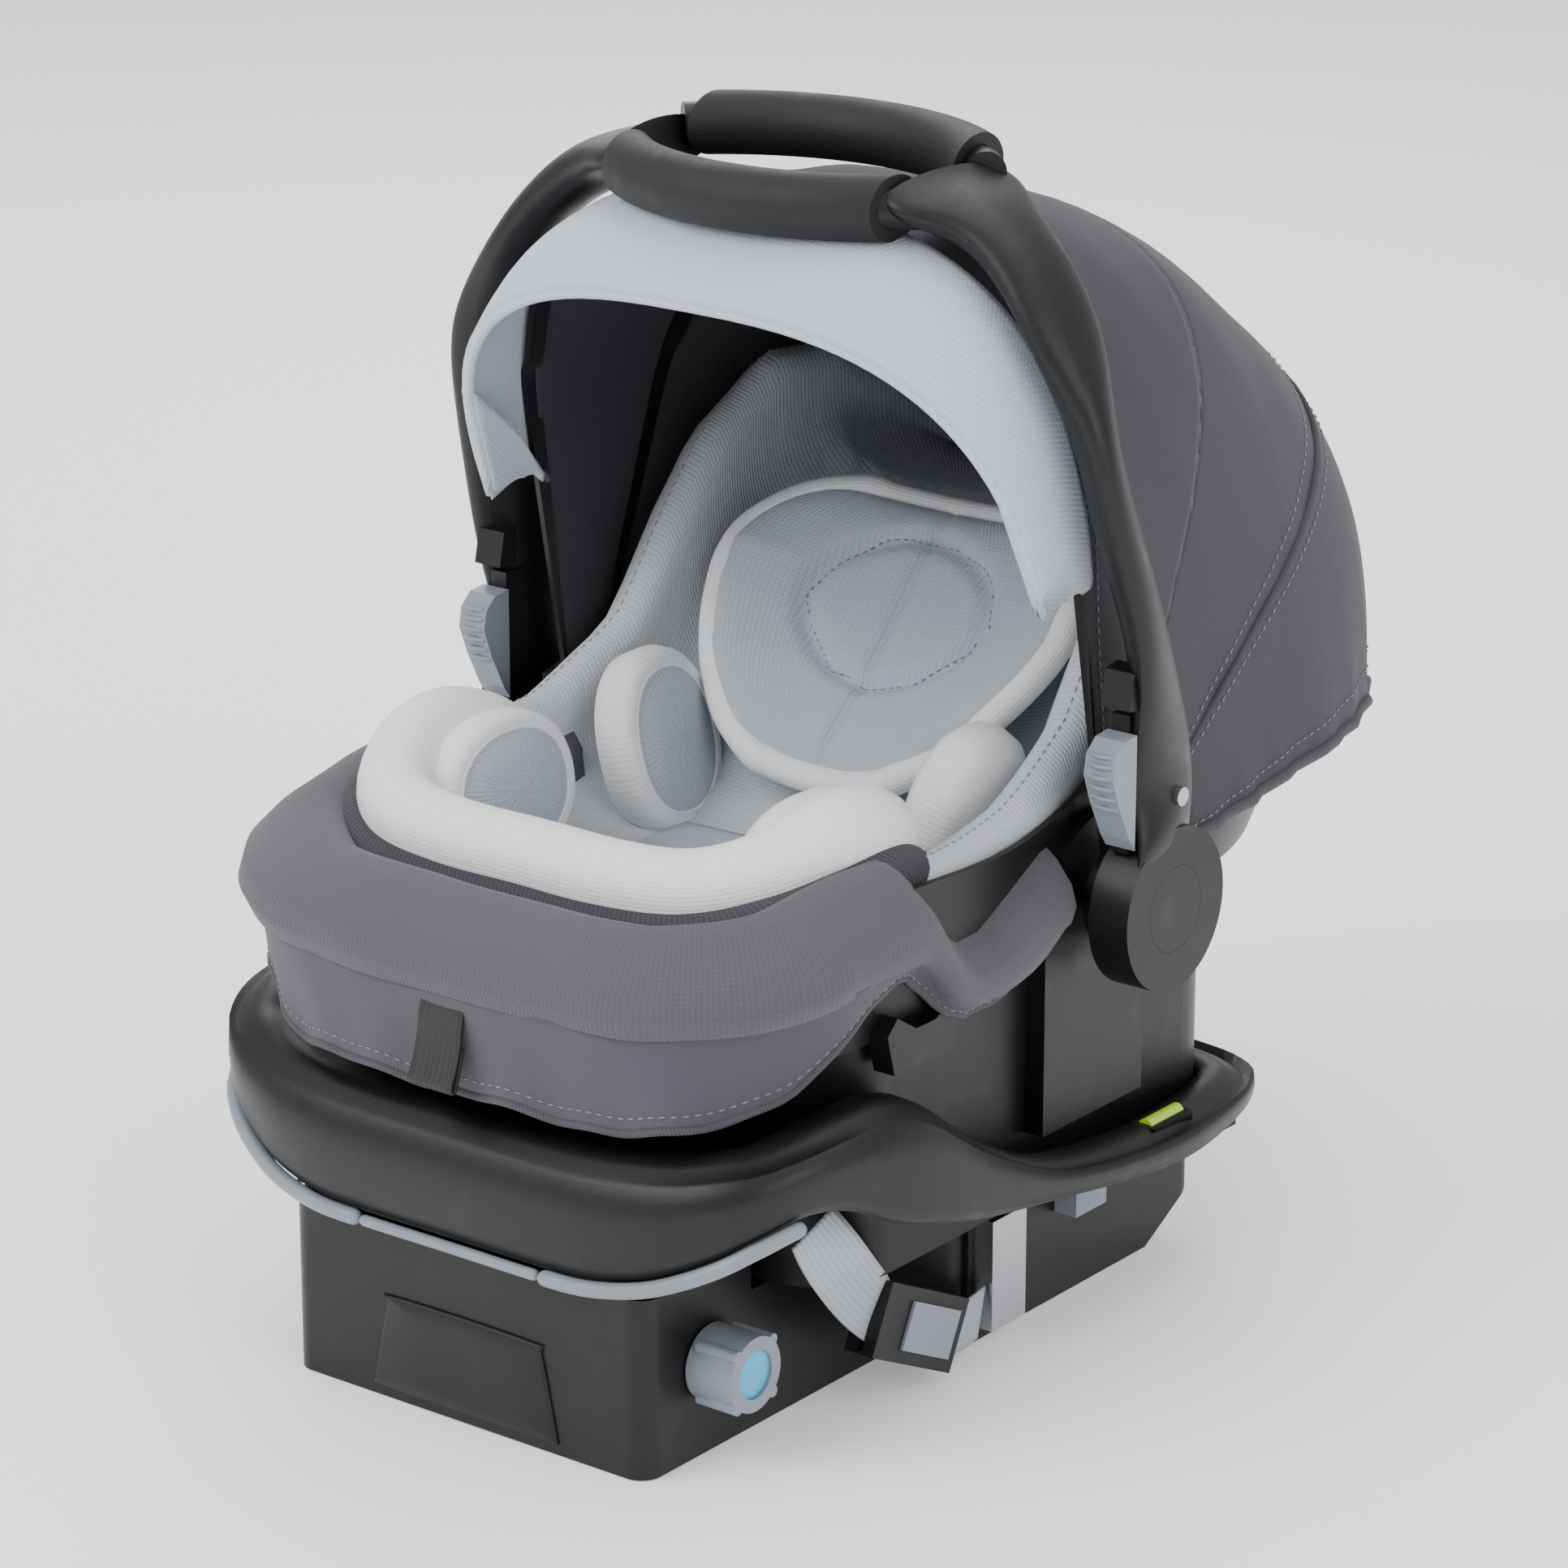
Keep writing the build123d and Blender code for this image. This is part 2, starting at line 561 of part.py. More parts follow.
def bow(name, a0, a1, disc, step_r):
    """A moulded arch whose ends step outwards at step_r to legs with pivot discs."""
    reach = CANOPY_R - 1.5
    inner = CANOPY_HALF - BOW_T
    hoop = arch_shell(CANOPY_HALF, reach, step_r, BOW_T, a0, a1)
    for _, s in SIDES:
        x0, x1 = sorted((s * inner, s * (disc + DISC_T)))
        foot = Polyline((x0, 0, step_r), (x1, 0, step_r), (x1, 0, step_r + CROSS), (x0, 0, step_r + CROSS),
                        close=True)
        hoop += revolve(Pos(0, 0, AXIS_Z) * Rot(X=-a0) * make_face(foot), AXIS, -(a1 - a0))
        x0, x1 = sorted((s * disc, s * (disc + DISC_T)))
        leg = block(x0, x1, -LEG_HALF, LEG_HALF, AXIS_Z, AXIS_Z + step_r + CROSS)
        hoop += leg.rotate(AXIS, -(a0 + a1) / 2) + rod(x0, x1, PIVOT_R)
    for _, s in SIDES:
        hoop -= rod(s * 150, s * 230, PIN_R + RUN)
    save(name, hoop)


def fabric(name, a0, a1, reach, half, hem, gap=0.35):
    shift = math.degrees(gap / 100.0)
    save(name, arch_shell(half, reach, hem, CLOTH, a0 + shift, a1 - shift))


def make_canopy():
    bow("canopy_front_bow", BOW_A0, BOW_A1, FIRST_DISC, 44)
    bow("canopy_middle_bow", MID_A0, MID_A1, FIRST_DISC + DISC_STEP, 62)
    fabric("canopy_front_fabric", BOW_A1, MID_A0, CANOPY_R - 1, CANOPY_HALF, 112)
    fabric("canopy_middle_fabric", MID_A1, REAR_A0, CANOPY_R - 1, CANOPY_HALF, 104)
    hem = [(30, 296), (100, 306), (200, 322), (268, 330), (310, 322), (400, 306)]
    rear = arch_shell(CANOPY_HALF + 2, CANOPY_R + 4, 96, CLOTH, REAR_A0, REAR_A1)
    save("canopy_rear", rear & over(hem, 0))
    arch = canopy_face(CANOPY_HALF - 0.5, CANOPY_R - 1, VISOR_HEM, CLOTH, BOW_A0 - 0.2)
    tip = canopy_face(CANOPY_HALF - 9, CANOPY_R - 25, VISOR_HEM, CLOTH, VISOR_A0)
    save("canopy_visor", loft([arch, tip]))


make_canopy()
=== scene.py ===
"""Infant car seat on its base: soft goods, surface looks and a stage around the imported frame."""
import json
import math

import bpy
import numpy as np
from bpy.props import FloatProperty, FloatVectorProperty, PointerProperty
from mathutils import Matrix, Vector


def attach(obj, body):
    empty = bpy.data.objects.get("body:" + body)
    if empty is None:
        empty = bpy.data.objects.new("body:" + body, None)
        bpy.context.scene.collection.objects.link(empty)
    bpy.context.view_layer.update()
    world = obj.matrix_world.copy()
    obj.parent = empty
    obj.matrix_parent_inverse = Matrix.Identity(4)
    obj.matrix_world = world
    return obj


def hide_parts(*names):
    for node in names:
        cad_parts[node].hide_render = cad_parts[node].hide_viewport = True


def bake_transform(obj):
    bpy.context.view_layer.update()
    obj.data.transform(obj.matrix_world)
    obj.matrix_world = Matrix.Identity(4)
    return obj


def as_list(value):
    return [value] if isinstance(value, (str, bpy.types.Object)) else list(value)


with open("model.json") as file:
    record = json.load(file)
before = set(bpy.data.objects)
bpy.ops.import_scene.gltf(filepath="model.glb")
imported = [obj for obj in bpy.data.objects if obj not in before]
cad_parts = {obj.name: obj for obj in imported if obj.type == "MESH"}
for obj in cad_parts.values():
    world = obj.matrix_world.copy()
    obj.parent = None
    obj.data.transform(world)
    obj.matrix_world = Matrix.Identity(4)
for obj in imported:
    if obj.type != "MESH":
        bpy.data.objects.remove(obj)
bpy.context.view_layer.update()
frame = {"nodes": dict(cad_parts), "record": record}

bl_info = {
    "name": "Infant car seat",
    "version": (1, 0, 0),
    "blender": (4, 5, 0),
    "location": "View3D > Sidebar > Car seat",
    "description": "Builds the padding, canopy, webbing, rim and looks of an infant car seat",
    "category": "Object",
}

MM = 0.001                # metres in a millimetre
AXIS_Z = 240.0            # height of the axis that the handle and canopy turn on, mm
AXIS = np.array([0, 0, AXIS_Z])


# ---------------------------------------------------------------- looks
def srgb(text):
    """A colour from its six hexadecimal digits, in linear light."""
    parts = [int(text[i:i + 2], 16) / 255 for i in (0, 2, 4)]
    return tuple(c / 12.92 if c <= 0.04045 else ((c + 0.055) / 1.055) ** 2.4 for c in parts)


class Wire:
    """One output inside a material, with plain arithmetic on it."""

    def __init__(self, look, socket):
        self.look, self.socket = look, socket

    def math(self, operation, *values):
        return self.look.node("ShaderNodeMath", {"operation": operation}, dict(enumerate(values)))

    def __add__(self, other):
        return self.math("ADD", self, other)

    def __sub__(self, other):
        return self.math("SUBTRACT", self, other)

    def __rsub__(self, other):
        return self.math("SUBTRACT", other, self)

    def __mul__(self, other):
        return self.math("MULTIPLY", self, other)

    def __truediv__(self, other):
        return self.math("DIVIDE", self, other)

    def __rtruediv__(self, other):
        return self.math("DIVIDE", other, self)

    __radd__ = __add__
    __rmul__ = __mul__

    def sin(self):
        return self.math("SINE", self)

    def clear_of(self, low, high):
        """0 below low, 1 above high, straight between."""
        limits = {"From Min": low, "From Max": high}
        return self.look.node("ShaderNodeMapRange", {}, {"Value": self, **limits})


class Look:
    """A procedural material being put together."""

    def __init__(self, name, colour, roughness, **constants):
        self.material = bpy.data.materials.new(name)
        self.material.use_nodes = True
        self.tree = self.material.node_tree
        self.shader = self.tree.nodes["Principled BSDF"]
        self.colour = colour
        self.put(self.shader.inputs["Base Color"], (*colour, 1))
        self.put(self.shader.inputs["Roughness"], roughness)
        for socket, value in constants.items():
            self.put(self.shader.inputs[socket.replace("_", " ")], value)

    def put(self, socket, value):
        if isinstance(value, Wire):
            self.tree.links.new(value.socket, socket)
        else:
            socket.default_value = value

    def node(self, kind, settings, inputs, output=0):
        made = self.tree.nodes.new(kind)
        for name, value in settings.items():
            setattr(made, name, value)
        for name, value in inputs.items():
            self.put(made.inputs[name], value)
        return Wire(self, made.outputs[output])

    def place(self, kind="Object"):
        return self.node("ShaderNodeTexCoord", {}, {}, kind)

    def across(self):
        """The two lengths along a piece of cloth, in metres."""
        uv = self.place("UV")
        return [self.node("ShaderNodeSeparateXYZ", {}, {"Vector": uv}, axis) for axis in ("X", "Y")]

    def noise(self, scale, detail=3.0, where="Object"):
        inputs = {"Vector": self.place(where), "Scale": scale, "Detail": detail}
        return self.node("ShaderNodeTexNoise", {}, inputs)

    def shade(self, factor, low=0.85, high=1.12):
        """The base colour, darker where factor is 0 and lighter where it is 1."""
        a = (*[c * low for c in self.colour], 1)
        b = (*[min(1.0, c * high) for c in self.colour], 1)
        mixed = self.node("ShaderNodeMix", {"data_type": "RGBA"}, {0: factor, 6: a, 7: b}, 2)
        self.put(self.shader.inputs["Base Color"], mixed)

    def rough(self, value):
        self.put(self.shader.inputs["Roughness"], value)

    def bump(self, height, depth, strength=1.0):
        inputs = {"Height": height, "Distance": depth, "Strength": strength}
        normal = self.node("ShaderNodeBump", {}, inputs)
        self.put(self.shader.inputs["Normal"], normal)


def plastic(name, colour, roughness=0.42, grain=1400.0, depth=0.00016):
    """Moulded plastic with a fine spark-eroded grain, faint flow marks and rubbed patches."""
    look = Look(name, colour, roughness, Specular_IOR_Level=0.38)
    fine = look.noise(grain, 2)
    slow = look.noise(9, 4)
    rubbed = look.noise(38, 6).clear_of(0.56, 0.72)
    look.shade(slow * 0.6 + rubbed * 0.4, 0.82, 1.22)
    look.rough(roughness + (slow - 0.5) * 0.16 - rubbed * 0.08 + (fine - 0.5) * 0.1)
    look.bump(fine + slow * 0.5, depth, 0.55)
    return look.material


def knit(name, colour, pitch=0.0024, depth=0.0005, low=0.80, high=1.08, slant=0.0, roughness=0.88):
    """Knitted cloth: loops in slightly wavy rows, melange yarn and soft pilling."""
    look = Look(name, colour, roughness, Sheen_Weight=0.12)
    x, y = look.across()
    turn = 2 * math.pi / pitch
    drift = (look.noise(26, 2, "UV") - 0.5) * 1.4
    row = (y * turn * 0.9 + x * turn * slant + drift).sin()
    loop = (x * turn + row * 0.9 + drift).sin()
    height = row * 0.25 + loop * row * 0.25 + 0.5
    yarn = look.noise(900, 2, "UV")
    patch = look.noise(11, 3)
    look.shade(height * 0.62 + yarn * 0.2 + patch * 0.18, low, high)
    look.rough(roughness + (height - 0.5) * 0.1 + (yarn - 0.5) * 0.08)
    look.bump(height + yarn * 0.3, depth, 0.8)
    return look.material


def ribbed(name, colour, pitch=0.003, depth=0.0006, slant=0.35, roughness=0.9):
    """Twill or ribbed cloth: close diagonal cords with a fine cross weave."""
    look = Look(name, colour, roughness, Sheen_Weight=0.08)
    x, y = look.across()
    turn = 2 * math.pi / pitch
    cord = (x * turn + y * turn * slant).sin() * 0.5 + 0.5
    cross = (y * turn * 2.1).sin() * 0.5 + 0.5
    yarn = look.noise(700, 2, "UV")
    look.shade(cord * 0.6 + cross * 0.2 + yarn * 0.2, 0.62, 1.2)
    look.rough(roughness - cord * 0.08)
    look.bump(cord * 0.8 + cross * 0.25 + yarn * 0.15, depth, 0.8)
    return look.material


def plain_weave(name, colour, pitch=0.0016, roughness=0.82):
    """Tight plain-woven polyester with broad soft creases, with painted shade in their hollows and painted
    light on their ridges.
    """
    look = Look(name, colour, roughness, Sheen_Weight=0.1)
    x, y = look.across()
    turn = 2 * math.pi / pitch
    weave = (x * turn).sin() * (y * turn).sin() * 0.5 + 0.5
    crease_and_shade = look.noise(17, 3)
    heather = look.noise(420, 3, "UV")
    # the creases also set the colour: painted shade in their hollows, painted light on their ridges
    look.shade(weave * 0.4 + heather * 0.35 + crease_and_shade * 0.25, 0.78, 1.18)
    look.rough(roughness + (heather - 0.5) * 0.14)
    look.bump(weave * 0.25 + crease_and_shade * 2.2, 0.0010, 0.5)
    return look.material


def webbing(name, colour, roughness=0.6):
    """Seat-belt webbing: lengthwise ribs crossed by fine slanting picks."""
    look = Look(name, colour, roughness)
    x, y = look.across()
    rib = (x * 2 * math.pi / 0.0034).sin() * 0.5 + 0.5
    pick = ((y + x * 0.35) * 2 * math.pi / 0.0013).sin() * 0.5 + 0.5
    soil = look.noise(60, 4)
    look.shade(rib * 0.4 + pick * 0.3 + soil * 0.3, 0.75, 1.15)
    look.rough(roughness + (soil - 0.5) * 0.2 - rib * 0.06)
    look.bump(rib * 0.7 + pick * 0.4, 0.0005, 0.8)
    return look.material


def clear_plastic(name, colour, painted_glow):
    """Tinted plastic of the level vial and its bubble, with a painted glow standing in for the light that
    passes through it.
    """
    look = Look(name, colour, 0.12, Coat_Weight=0.7)
    haze = look.noise(160, 3)
    look.shade(haze, 0.85, 1.2)
    look.rough(0.1 + haze * 0.12)
    # painted glow: the plastic emits its own colour, standing in for light passing through it
    look.put(look.shader.inputs["Emission Strength"], painted_glow)
    look.put(look.shader.inputs["Emission Color"], (*colour, 1))
    look.bump(haze, 0.0001, 0.3)
    return look.material


def foam_look(name, colour):
    """Moulded bead foam."""
    look = Look(name, colour, 0.95)
    cells = look.node("ShaderNodeTexVoronoi", {}, {"Vector": look.place(), "Scale": 420})
    look.shade(cells, 0.8, 1.05)
    look.rough(0.9 + cells * 0.08)
    look.bump(cells, 0.0006, 0.8)
    return look.material


BLACK = srgb("100f10")
GREY = srgb("868e97")
CHARCOAL = srgb("36343b")
COVER = srgb("535158")
WHITE = srgb("eeeeee")
PALE = srgb("c6cace")
MIST = srgb("b4bdc6")
SKY = srgb("c3ccd6")


class Looks:
    """Every look by the name of the record's slot, and the extra ones of the pieces."""

    def __init__(self):
        self.by_slot = {
            "black_plastic": plastic("black_plastic", BLACK),
            "grey_plastic": plastic("grey_plastic", GREY, 0.38),
            "blue_plastic": plastic("blue_plastic", srgb("4fb5dc"), 0.35),
            "red_plastic": plastic("red_plastic", srgb("c3242a"), 0.35),
            "rubber_black": plastic("rubber_black", srgb("1c1b1c"), 0.62, 800.0, 0.0003),
            "steel": self.steel(),
            # the vial and its bubble carry a painted glow of strength 0.25 and 0.3
            "vial_green": clear_plastic("vial_green", srgb("a8d420"), 0.25),
            "vial_bubble": clear_plastic("vial_bubble", srgb("e9f5b8"), 0.3),
            "grey_webbing": webbing("grey_webbing", srgb("a9aeb4")),
            "black_webbing": webbing("black_webbing", srgb("1d1c1e")),
            "foam": foam_look("foam", srgb("d7d7d4")),
            "pad_fabric": knit("pad_fabric", PALE),
            "insert_fabric": knit("insert_fabric", MIST, 0.0026),
            "cover_fabric": knit("cover_fabric", COVER, 0.0022, 0.0006, 0.72, 1.15),
            "canopy_fabric": plain_weave("canopy_fabric", CHARCOAL),
            "visor_fabric": knit("visor_fabric", SKY, 0.0026, 0.0004, slant=0.3),
        }
        self.white = knit("insert_white", WHITE, 0.0020, 0.0003, 0.93, 1.02)
        self.band = ribbed("insert_band", srgb("3a3841"), 0.0028)
        self.skirt = plain_weave("cover_skirt", srgb("4a4850"))
        self.twill = ribbed("canopy_twill", srgb("3b3941"), 0.0030)
        self.lining = plain_weave("canopy_lining", srgb("2f2e34"), 0.0022)
        self.thread = plain_weave("thread", srgb("8b8a92"), 0.0008)
        self.binding = ribbed("binding", srgb("4a4850"), 0.0018, 0.0003, 0.1)

    def steel(self):
        """Drawn steel wire and plate."""
        look = Look("steel", srgb("b9bcc0"), 0.3, Metallic=1.0)
        drawn = look.noise(500, 2)
        look.shade(drawn, 0.8, 1.1)
        look.rough(0.22 + drawn * 0.2)
        look.bump(drawn, 0.00008, 0.4)
        return look.material


# ---------------------------------------------------------------- geometry
def curve(points, count, closed=False, dims=3):
    """count points spaced evenly along a smooth line through the given ones."""
    p = np.array(points, float)
    if closed:
        q = np.vstack([p[-1:], p, p[:2]])
    else:
        q = np.vstack([2 * p[0] - p[1], p, 2 * p[-1] - p[-2]])
    t = np.linspace(0, 1, 24, endpoint=False)[:, None]
    parts = []
    for a, b, c, d in zip(q[:-3], q[1:-2], q[2:-1], q[3:]):
        parts.append(0.5 * (2 * b + (c - a) * t + (2 * a - 5 * b + 4 * c - d) * t ** 2
                            + (3 * b - a - 3 * c + d) * t ** 3))
    fine = np.vstack(parts + [p[:1] if closed else p[-1:]])
    s = np.r_[0, np.cumsum(np.linalg.norm(np.diff(fine[:, :dims], axis=0), axis=1))]
    at = np.linspace(0, s[-1], count + closed)[:count]
    return np.stack([np.interp(at, s, fine[:, k]) for k in range(p.shape[1])], 1)


def both_sides(points):
    """A line from its right half, which starts on the middle plane, continued on the left."""
    left = [(-p[0], *p[1:]) for p in reversed(points[1:] if points[0][0] == 0 else points)]
    return left + list(points)


def along(line, y):
    """Height of a side line of (y, z) points at y."""
    line = np.array(line, float)
    return np.interp(y, line[:, 0], line[:, 1])


def unit(v):
    """Directions from vectors."""
    return v / np.maximum(np.linalg.norm(v, axis=-1, keepdims=True), 1e-9)


def lengths(rows, axis):
    """Mean length gone along an axis of the rows, at each of its points."""
    steps = np.linalg.norm(np.diff(rows, axis=axis), axis=2).mean(axis=1 - axis)
    return np.r_[0, np.cumsum(steps)]


def piece(name, rows, looks, loop=False, ring=False, pick=None):
    """A mesh from rows of points in mm. loop joins the last row to the first, ring each row's ends."""
    rows = np.array(rows, float) * MM
    n, m = rows.shape[:2]
    along_rows, along_points = lengths(rows, 0), lengths(rows, 1)
    if loop:
        closing = np.linalg.norm(rows[0] - rows[-1], axis=1).mean()
        along_rows = np.r_[along_rows, along_rows[-1] + closing]
    if ring:
        closing = np.linalg.norm(rows[:, 0] - rows[:, -1], axis=1).mean()
        along_points = np.r_[along_points, along_points[-1] + closing]
    faces, uvs, slots = [], [], []
    for i in range(n if loop else n - 1):
        for j in range(m if ring else m - 1):
            row, over = (i + 1) % n, (j + 1) % m
            faces.append((i * m + j, i * m + over, row * m + over, row * m + j))
            corners = ((i, j), (i, j + 1), (i + 1, j + 1), (i + 1, j))
            uvs += [(along_rows[a], along_points[b]) for a, b in corners]
            slots.append(pick(i, j) if pick else 0)
    mesh = bpy.data.meshes.new(name)
    mesh.from_pydata(rows.reshape(-1, 3).tolist(), [], faces)
    layer = mesh.uv_layers.new(name="cloth")
    layer.data.foreach_set("uv", np.array(uvs).ravel())
    for look in looks if isinstance(looks, (list, tuple)) else [looks]:
        mesh.materials.append(look)
    mesh.polygons.foreach_set("material_index", slots)
    mesh.update()
    return into_scene(name, mesh)


def into_scene(name, mesh):
    mesh.shade_smooth()
    obj = bpy.data.objects.new(name, mesh)
    bpy.context.scene.collection.objects.link(obj)
    return obj


def thicken(obj, thickness, inner_look=0, offset=-1.0):
    """Gives a cloth its thickness in metres, with the look that is inner_look places further inside."""
    solid = obj.modifiers.new("cloth", "SOLIDIFY")
    solid.thickness, solid.offset = thickness, offset
    solid.material_offset = inner_look
    bpy.context.view_layer.update()
    solved = obj.evaluated_get(bpy.context.evaluated_depsgraph_get())
    mesh = bpy.data.meshes.new_from_object(solved)
    obj.modifiers.clear()
    obj.data = mesh
    obj.data.shade_smooth()


END_STEPS = (0.98, 0.85, 0.55)      # how far the rounded end of a tube reaches, in radii


def tube(name, path, radius, look, squash=1.0, sides=16, closed=False, tilt=(0, 0, 1)):
    """A padded roll, cord or bar along a path; radius is a number or one for each point."""
    path = np.array(path, float)
    radius = np.broadcast_to(np.array(radius, float), (len(path),))
    if closed:
        ahead = unit(np.roll(path, -1, 0) - np.roll(path, 1, 0))
    else:
        ahead = unit(np.gradient(path, axis=0))
    side = unit(np.cross(ahead, np.array(tilt, float)))
    up = np.cross(side, ahead)
    a = np.linspace(0, 2 * math.pi, sides, endpoint=False)
    rows = path[:, None] + radius[:, None, None] * (side[:, None] * np.cos(a)[None, :, None]
                                                    + up[:, None] * np.sin(a)[None, :, None] * squash)
    if not closed:
        start, end = [], []
        for k in END_STEPS:
            narrow = math.sqrt(1 - k * k)
            start.append(path[0] - ahead[0] * radius[0] * k + (rows[0] - path[0]) * narrow)
            end.insert(0, path[-1] + ahead[-1] * radius[-1] * k + (rows[-1] - path[-1]) * narrow)
        rows = np.concatenate([start, rows, end])
    return piece(name, rows, look, loop=closed, ring=True)


def stitches(name, path, look, pitch=6.0, length=3.6, width=0.55):
    """A run of sewn stitches, each a small rounded bar lying on the cloth."""
    path = np.array(path, float)
    s = np.r_[0, np.cumsum(np.linalg.norm(np.diff(path, axis=0), axis=1))]
    verts, faces = [], []
    for start in np.arange(0, s[-1] - length, pitch):
        along_it = (start, start + length / 2, start + length)
        ends = [np.array([np.interp(d, s, path[:, k]) for k in range(3)]) for d in along_it]
        ahead = unit(ends[2] - ends[0])
        side = unit(np.cross(ahead, (0.31, 0.52, 0.79)))
        up = np.cross(ahead, side)
        base = len(verts)
        for point, r in zip(ends, (0.35, 1.0, 0.35)):
            verts += [tuple((point + (side * math.cos(a) + up * math.sin(a)) * width * r) * MM)
                      for a in np.linspace(0, 2 * math.pi, 6, endpoint=False)]
        for ring in (base, base + 6):
            faces += [(ring + i, ring + (i + 1) % 6, ring + 6 + (i + 1) % 6, ring + 6 + i) for i in range(6)]
        faces += [tuple(base + i for i in reversed(range(6))), tuple(base + 12 + i for i in range(6))]
    mesh = bpy.data.meshes.new(name)
    mesh.from_pydata(verts, [], faces)
    mesh.uv_layers.new(name="cloth")
    mesh.materials.append(look)
    return into_scene(name, mesh)


# ---------------------------------------------------------------- shared outlines, mm
# Right half of the seat's outline as (x, y), from the feet to the head.
SEAT = [(0, -308), (81, -305), (125, -292), (166, -251), (176, -196), (179, -115), (176, -45), (170, 15),
        (167, 105), (155, 207), (128, 264), (75, 308), (0, 322)]
# Side lines as (y, z): the shell's upper edge, the bottom of the bowl, the skirt's hem and the cover's edge.
RIM = [(-340, 262), (-300, 270), (-250, 282), (-150, 288), (-60, 286), (0, 304), (40, 350), (75, 390),
       (130, 422), (185, 420), (240, 393), (285, 352), (362, 285)]
SPINE = [(-252, 256), (-200, 245), (-150, 228), (-100, 220), (-60, 220), (-20, 230), (10, 246), (40, 276),
         (80, 314), (110, 345), (145, 388), (175, 405)]
HEM = [(-338, 180), (-290, 186), (-250, 206), (-225, 224), (-205, 237), (-185, 246)]
CREST = [(-338, 279), (-300, 281), (-250, 290), (-200, 297), (-172, 298), (-158, 284), (-145, 262),
         (-130, 250), (-112, 250), (-90, 262), (-50, 280)]


def ripple(rows, size, *waves):
    """Height of soft irregular creases at each point, up to size; waves are (x, y, z) counts per metre."""
    rows = np.array(rows, float)
    total = 0
    for i, counts in enumerate(waves):
        total = total + np.sin((rows * np.array(counts) * 2 * MM * math.pi).sum(-1) + i * 1.7)
    return total * size / len(waves)


# ---------------------------------------------------------------- settings
class CanopySettings(bpy.types.PropertyGroup):
    """Shape of the canopy cloth."""
    reach: FloatProperty(name="Reach", description="Radius of the cloth about the axis", default=0.3512,
                         subtype="DISTANCE", unit="LENGTH")
    half_width: FloatProperty(name="Half width", description="Half the width at the hem", default=0.1800,
                              subtype="DISTANCE", unit="LENGTH")
    sag: FloatProperty(name="Sag", description="How far the cloth sinks between two bows", default=0.005,
                       subtype="DISTANCE", unit="LENGTH")
    thickness: FloatProperty(name="Thickness", description="Cloth with its lining", default=0.0028,
                             subtype="DISTANCE", unit="LENGTH")


class CushionSettings(bpy.types.PropertyGroup):
    """Fullness of the pads and inserts."""
    wing: FloatProperty(name="Wing roll", description="Thickness of the pad's rolled edge", default=0.013,
                        subtype="DISTANCE", unit="LENGTH")
    roll: FloatProperty(name="Front roll", description="Radius of the white roll", default=0.021,
                        subtype="DISTANCE", unit="LENGTH")
    loft: FloatProperty(name="Insert loft", description="Fullness of the head insert", default=0.020,
                        subtype="DISTANCE", unit="LENGTH")


class CoverSettings(bpy.types.PropertyGroup):
    """Seat cover and its skirt."""
    bulge: FloatProperty(name="Bulge", description="How far the padded edge stands out", default=0.013,
                         subtype="DISTANCE", unit="LENGTH")
    wave: FloatProperty(name="Skirt wave", description="Depth of the waves in the skirt", default=0.003,
                        subtype="DISTANCE", unit="LENGTH")


class BaseSettings(bpy.types.PropertyGroup):
    """Rim and trim of the base."""
    swell: FloatProperty(name="Swell", description="How far the rim rounds outwards", default=0.004,
                         subtype="DISTANCE", unit="LENGTH")
    trim: FloatProperty(name="Trim radius", description="Half the height of the grey trim", default=0.0045,
                        subtype="DISTANCE", unit="LENGTH")


class StageSettings(bpy.types.PropertyGroup):
    """Floor, lights and camera."""
    floor: FloatVectorProperty(name="Floor colour", description="Colour of floor and backdrop", size=3,
                               default=(0.97, 0.97, 0.97), subtype="COLOR")
    key: FloatProperty(name="Key light", description="Power of the main light", default=92.0, unit="POWER")
    fill: FloatProperty(name="Fill light", description="Power of the soft light", default=44.0, unit="POWER")
    lens: FloatProperty(name="Lens", description="Focal length in millimetres", default=131.3)


# ---------------------------------------------------------------- pieces
class CarSeatStep:
    """Shared by the steps: errors stop the run, and looks are made once."""
    bl_options = {"REGISTER"}
    looks = None

    @staticmethod
    def get_looks():
        if CarSeatStep.looks is None:
            CarSeatStep.looks = Looks()
        return CarSeatStep.looks

    def execute(self, context):
        self.build(context.scene, CarSeatStep.get_looks())
        return {"FINISHED"}


class CARSEAT_OT_looks(CarSeatStep, bpy.types.Operator):
    """Give every moulded node its surface look"""
    bl_idname = "carseat.looks"
    bl_label = "Moulded parts"

    def build(self, scene, looks):
        slots = {s["node"]: s["material_slot"] for s in frame["record"]["subparts"]}
        for name, obj in frame["nodes"].items():
            obj.data.materials.clear()
            obj.data.materials.append(looks.by_slot[slots[name]])
            if not obj.data.uv_layers:
                obj.data.uv_layers.new(name="cloth")


CLOTH, LINING, TWILL = 0, 1, 2      # places of the looks on a canopy panel
KNEE = 0.72                         # where the canopy's crown turns into its straight legs
CROWN = 2 / 2.8                     # roundness of the crown, 1 being an ellipse
ROW_POINTS = 65


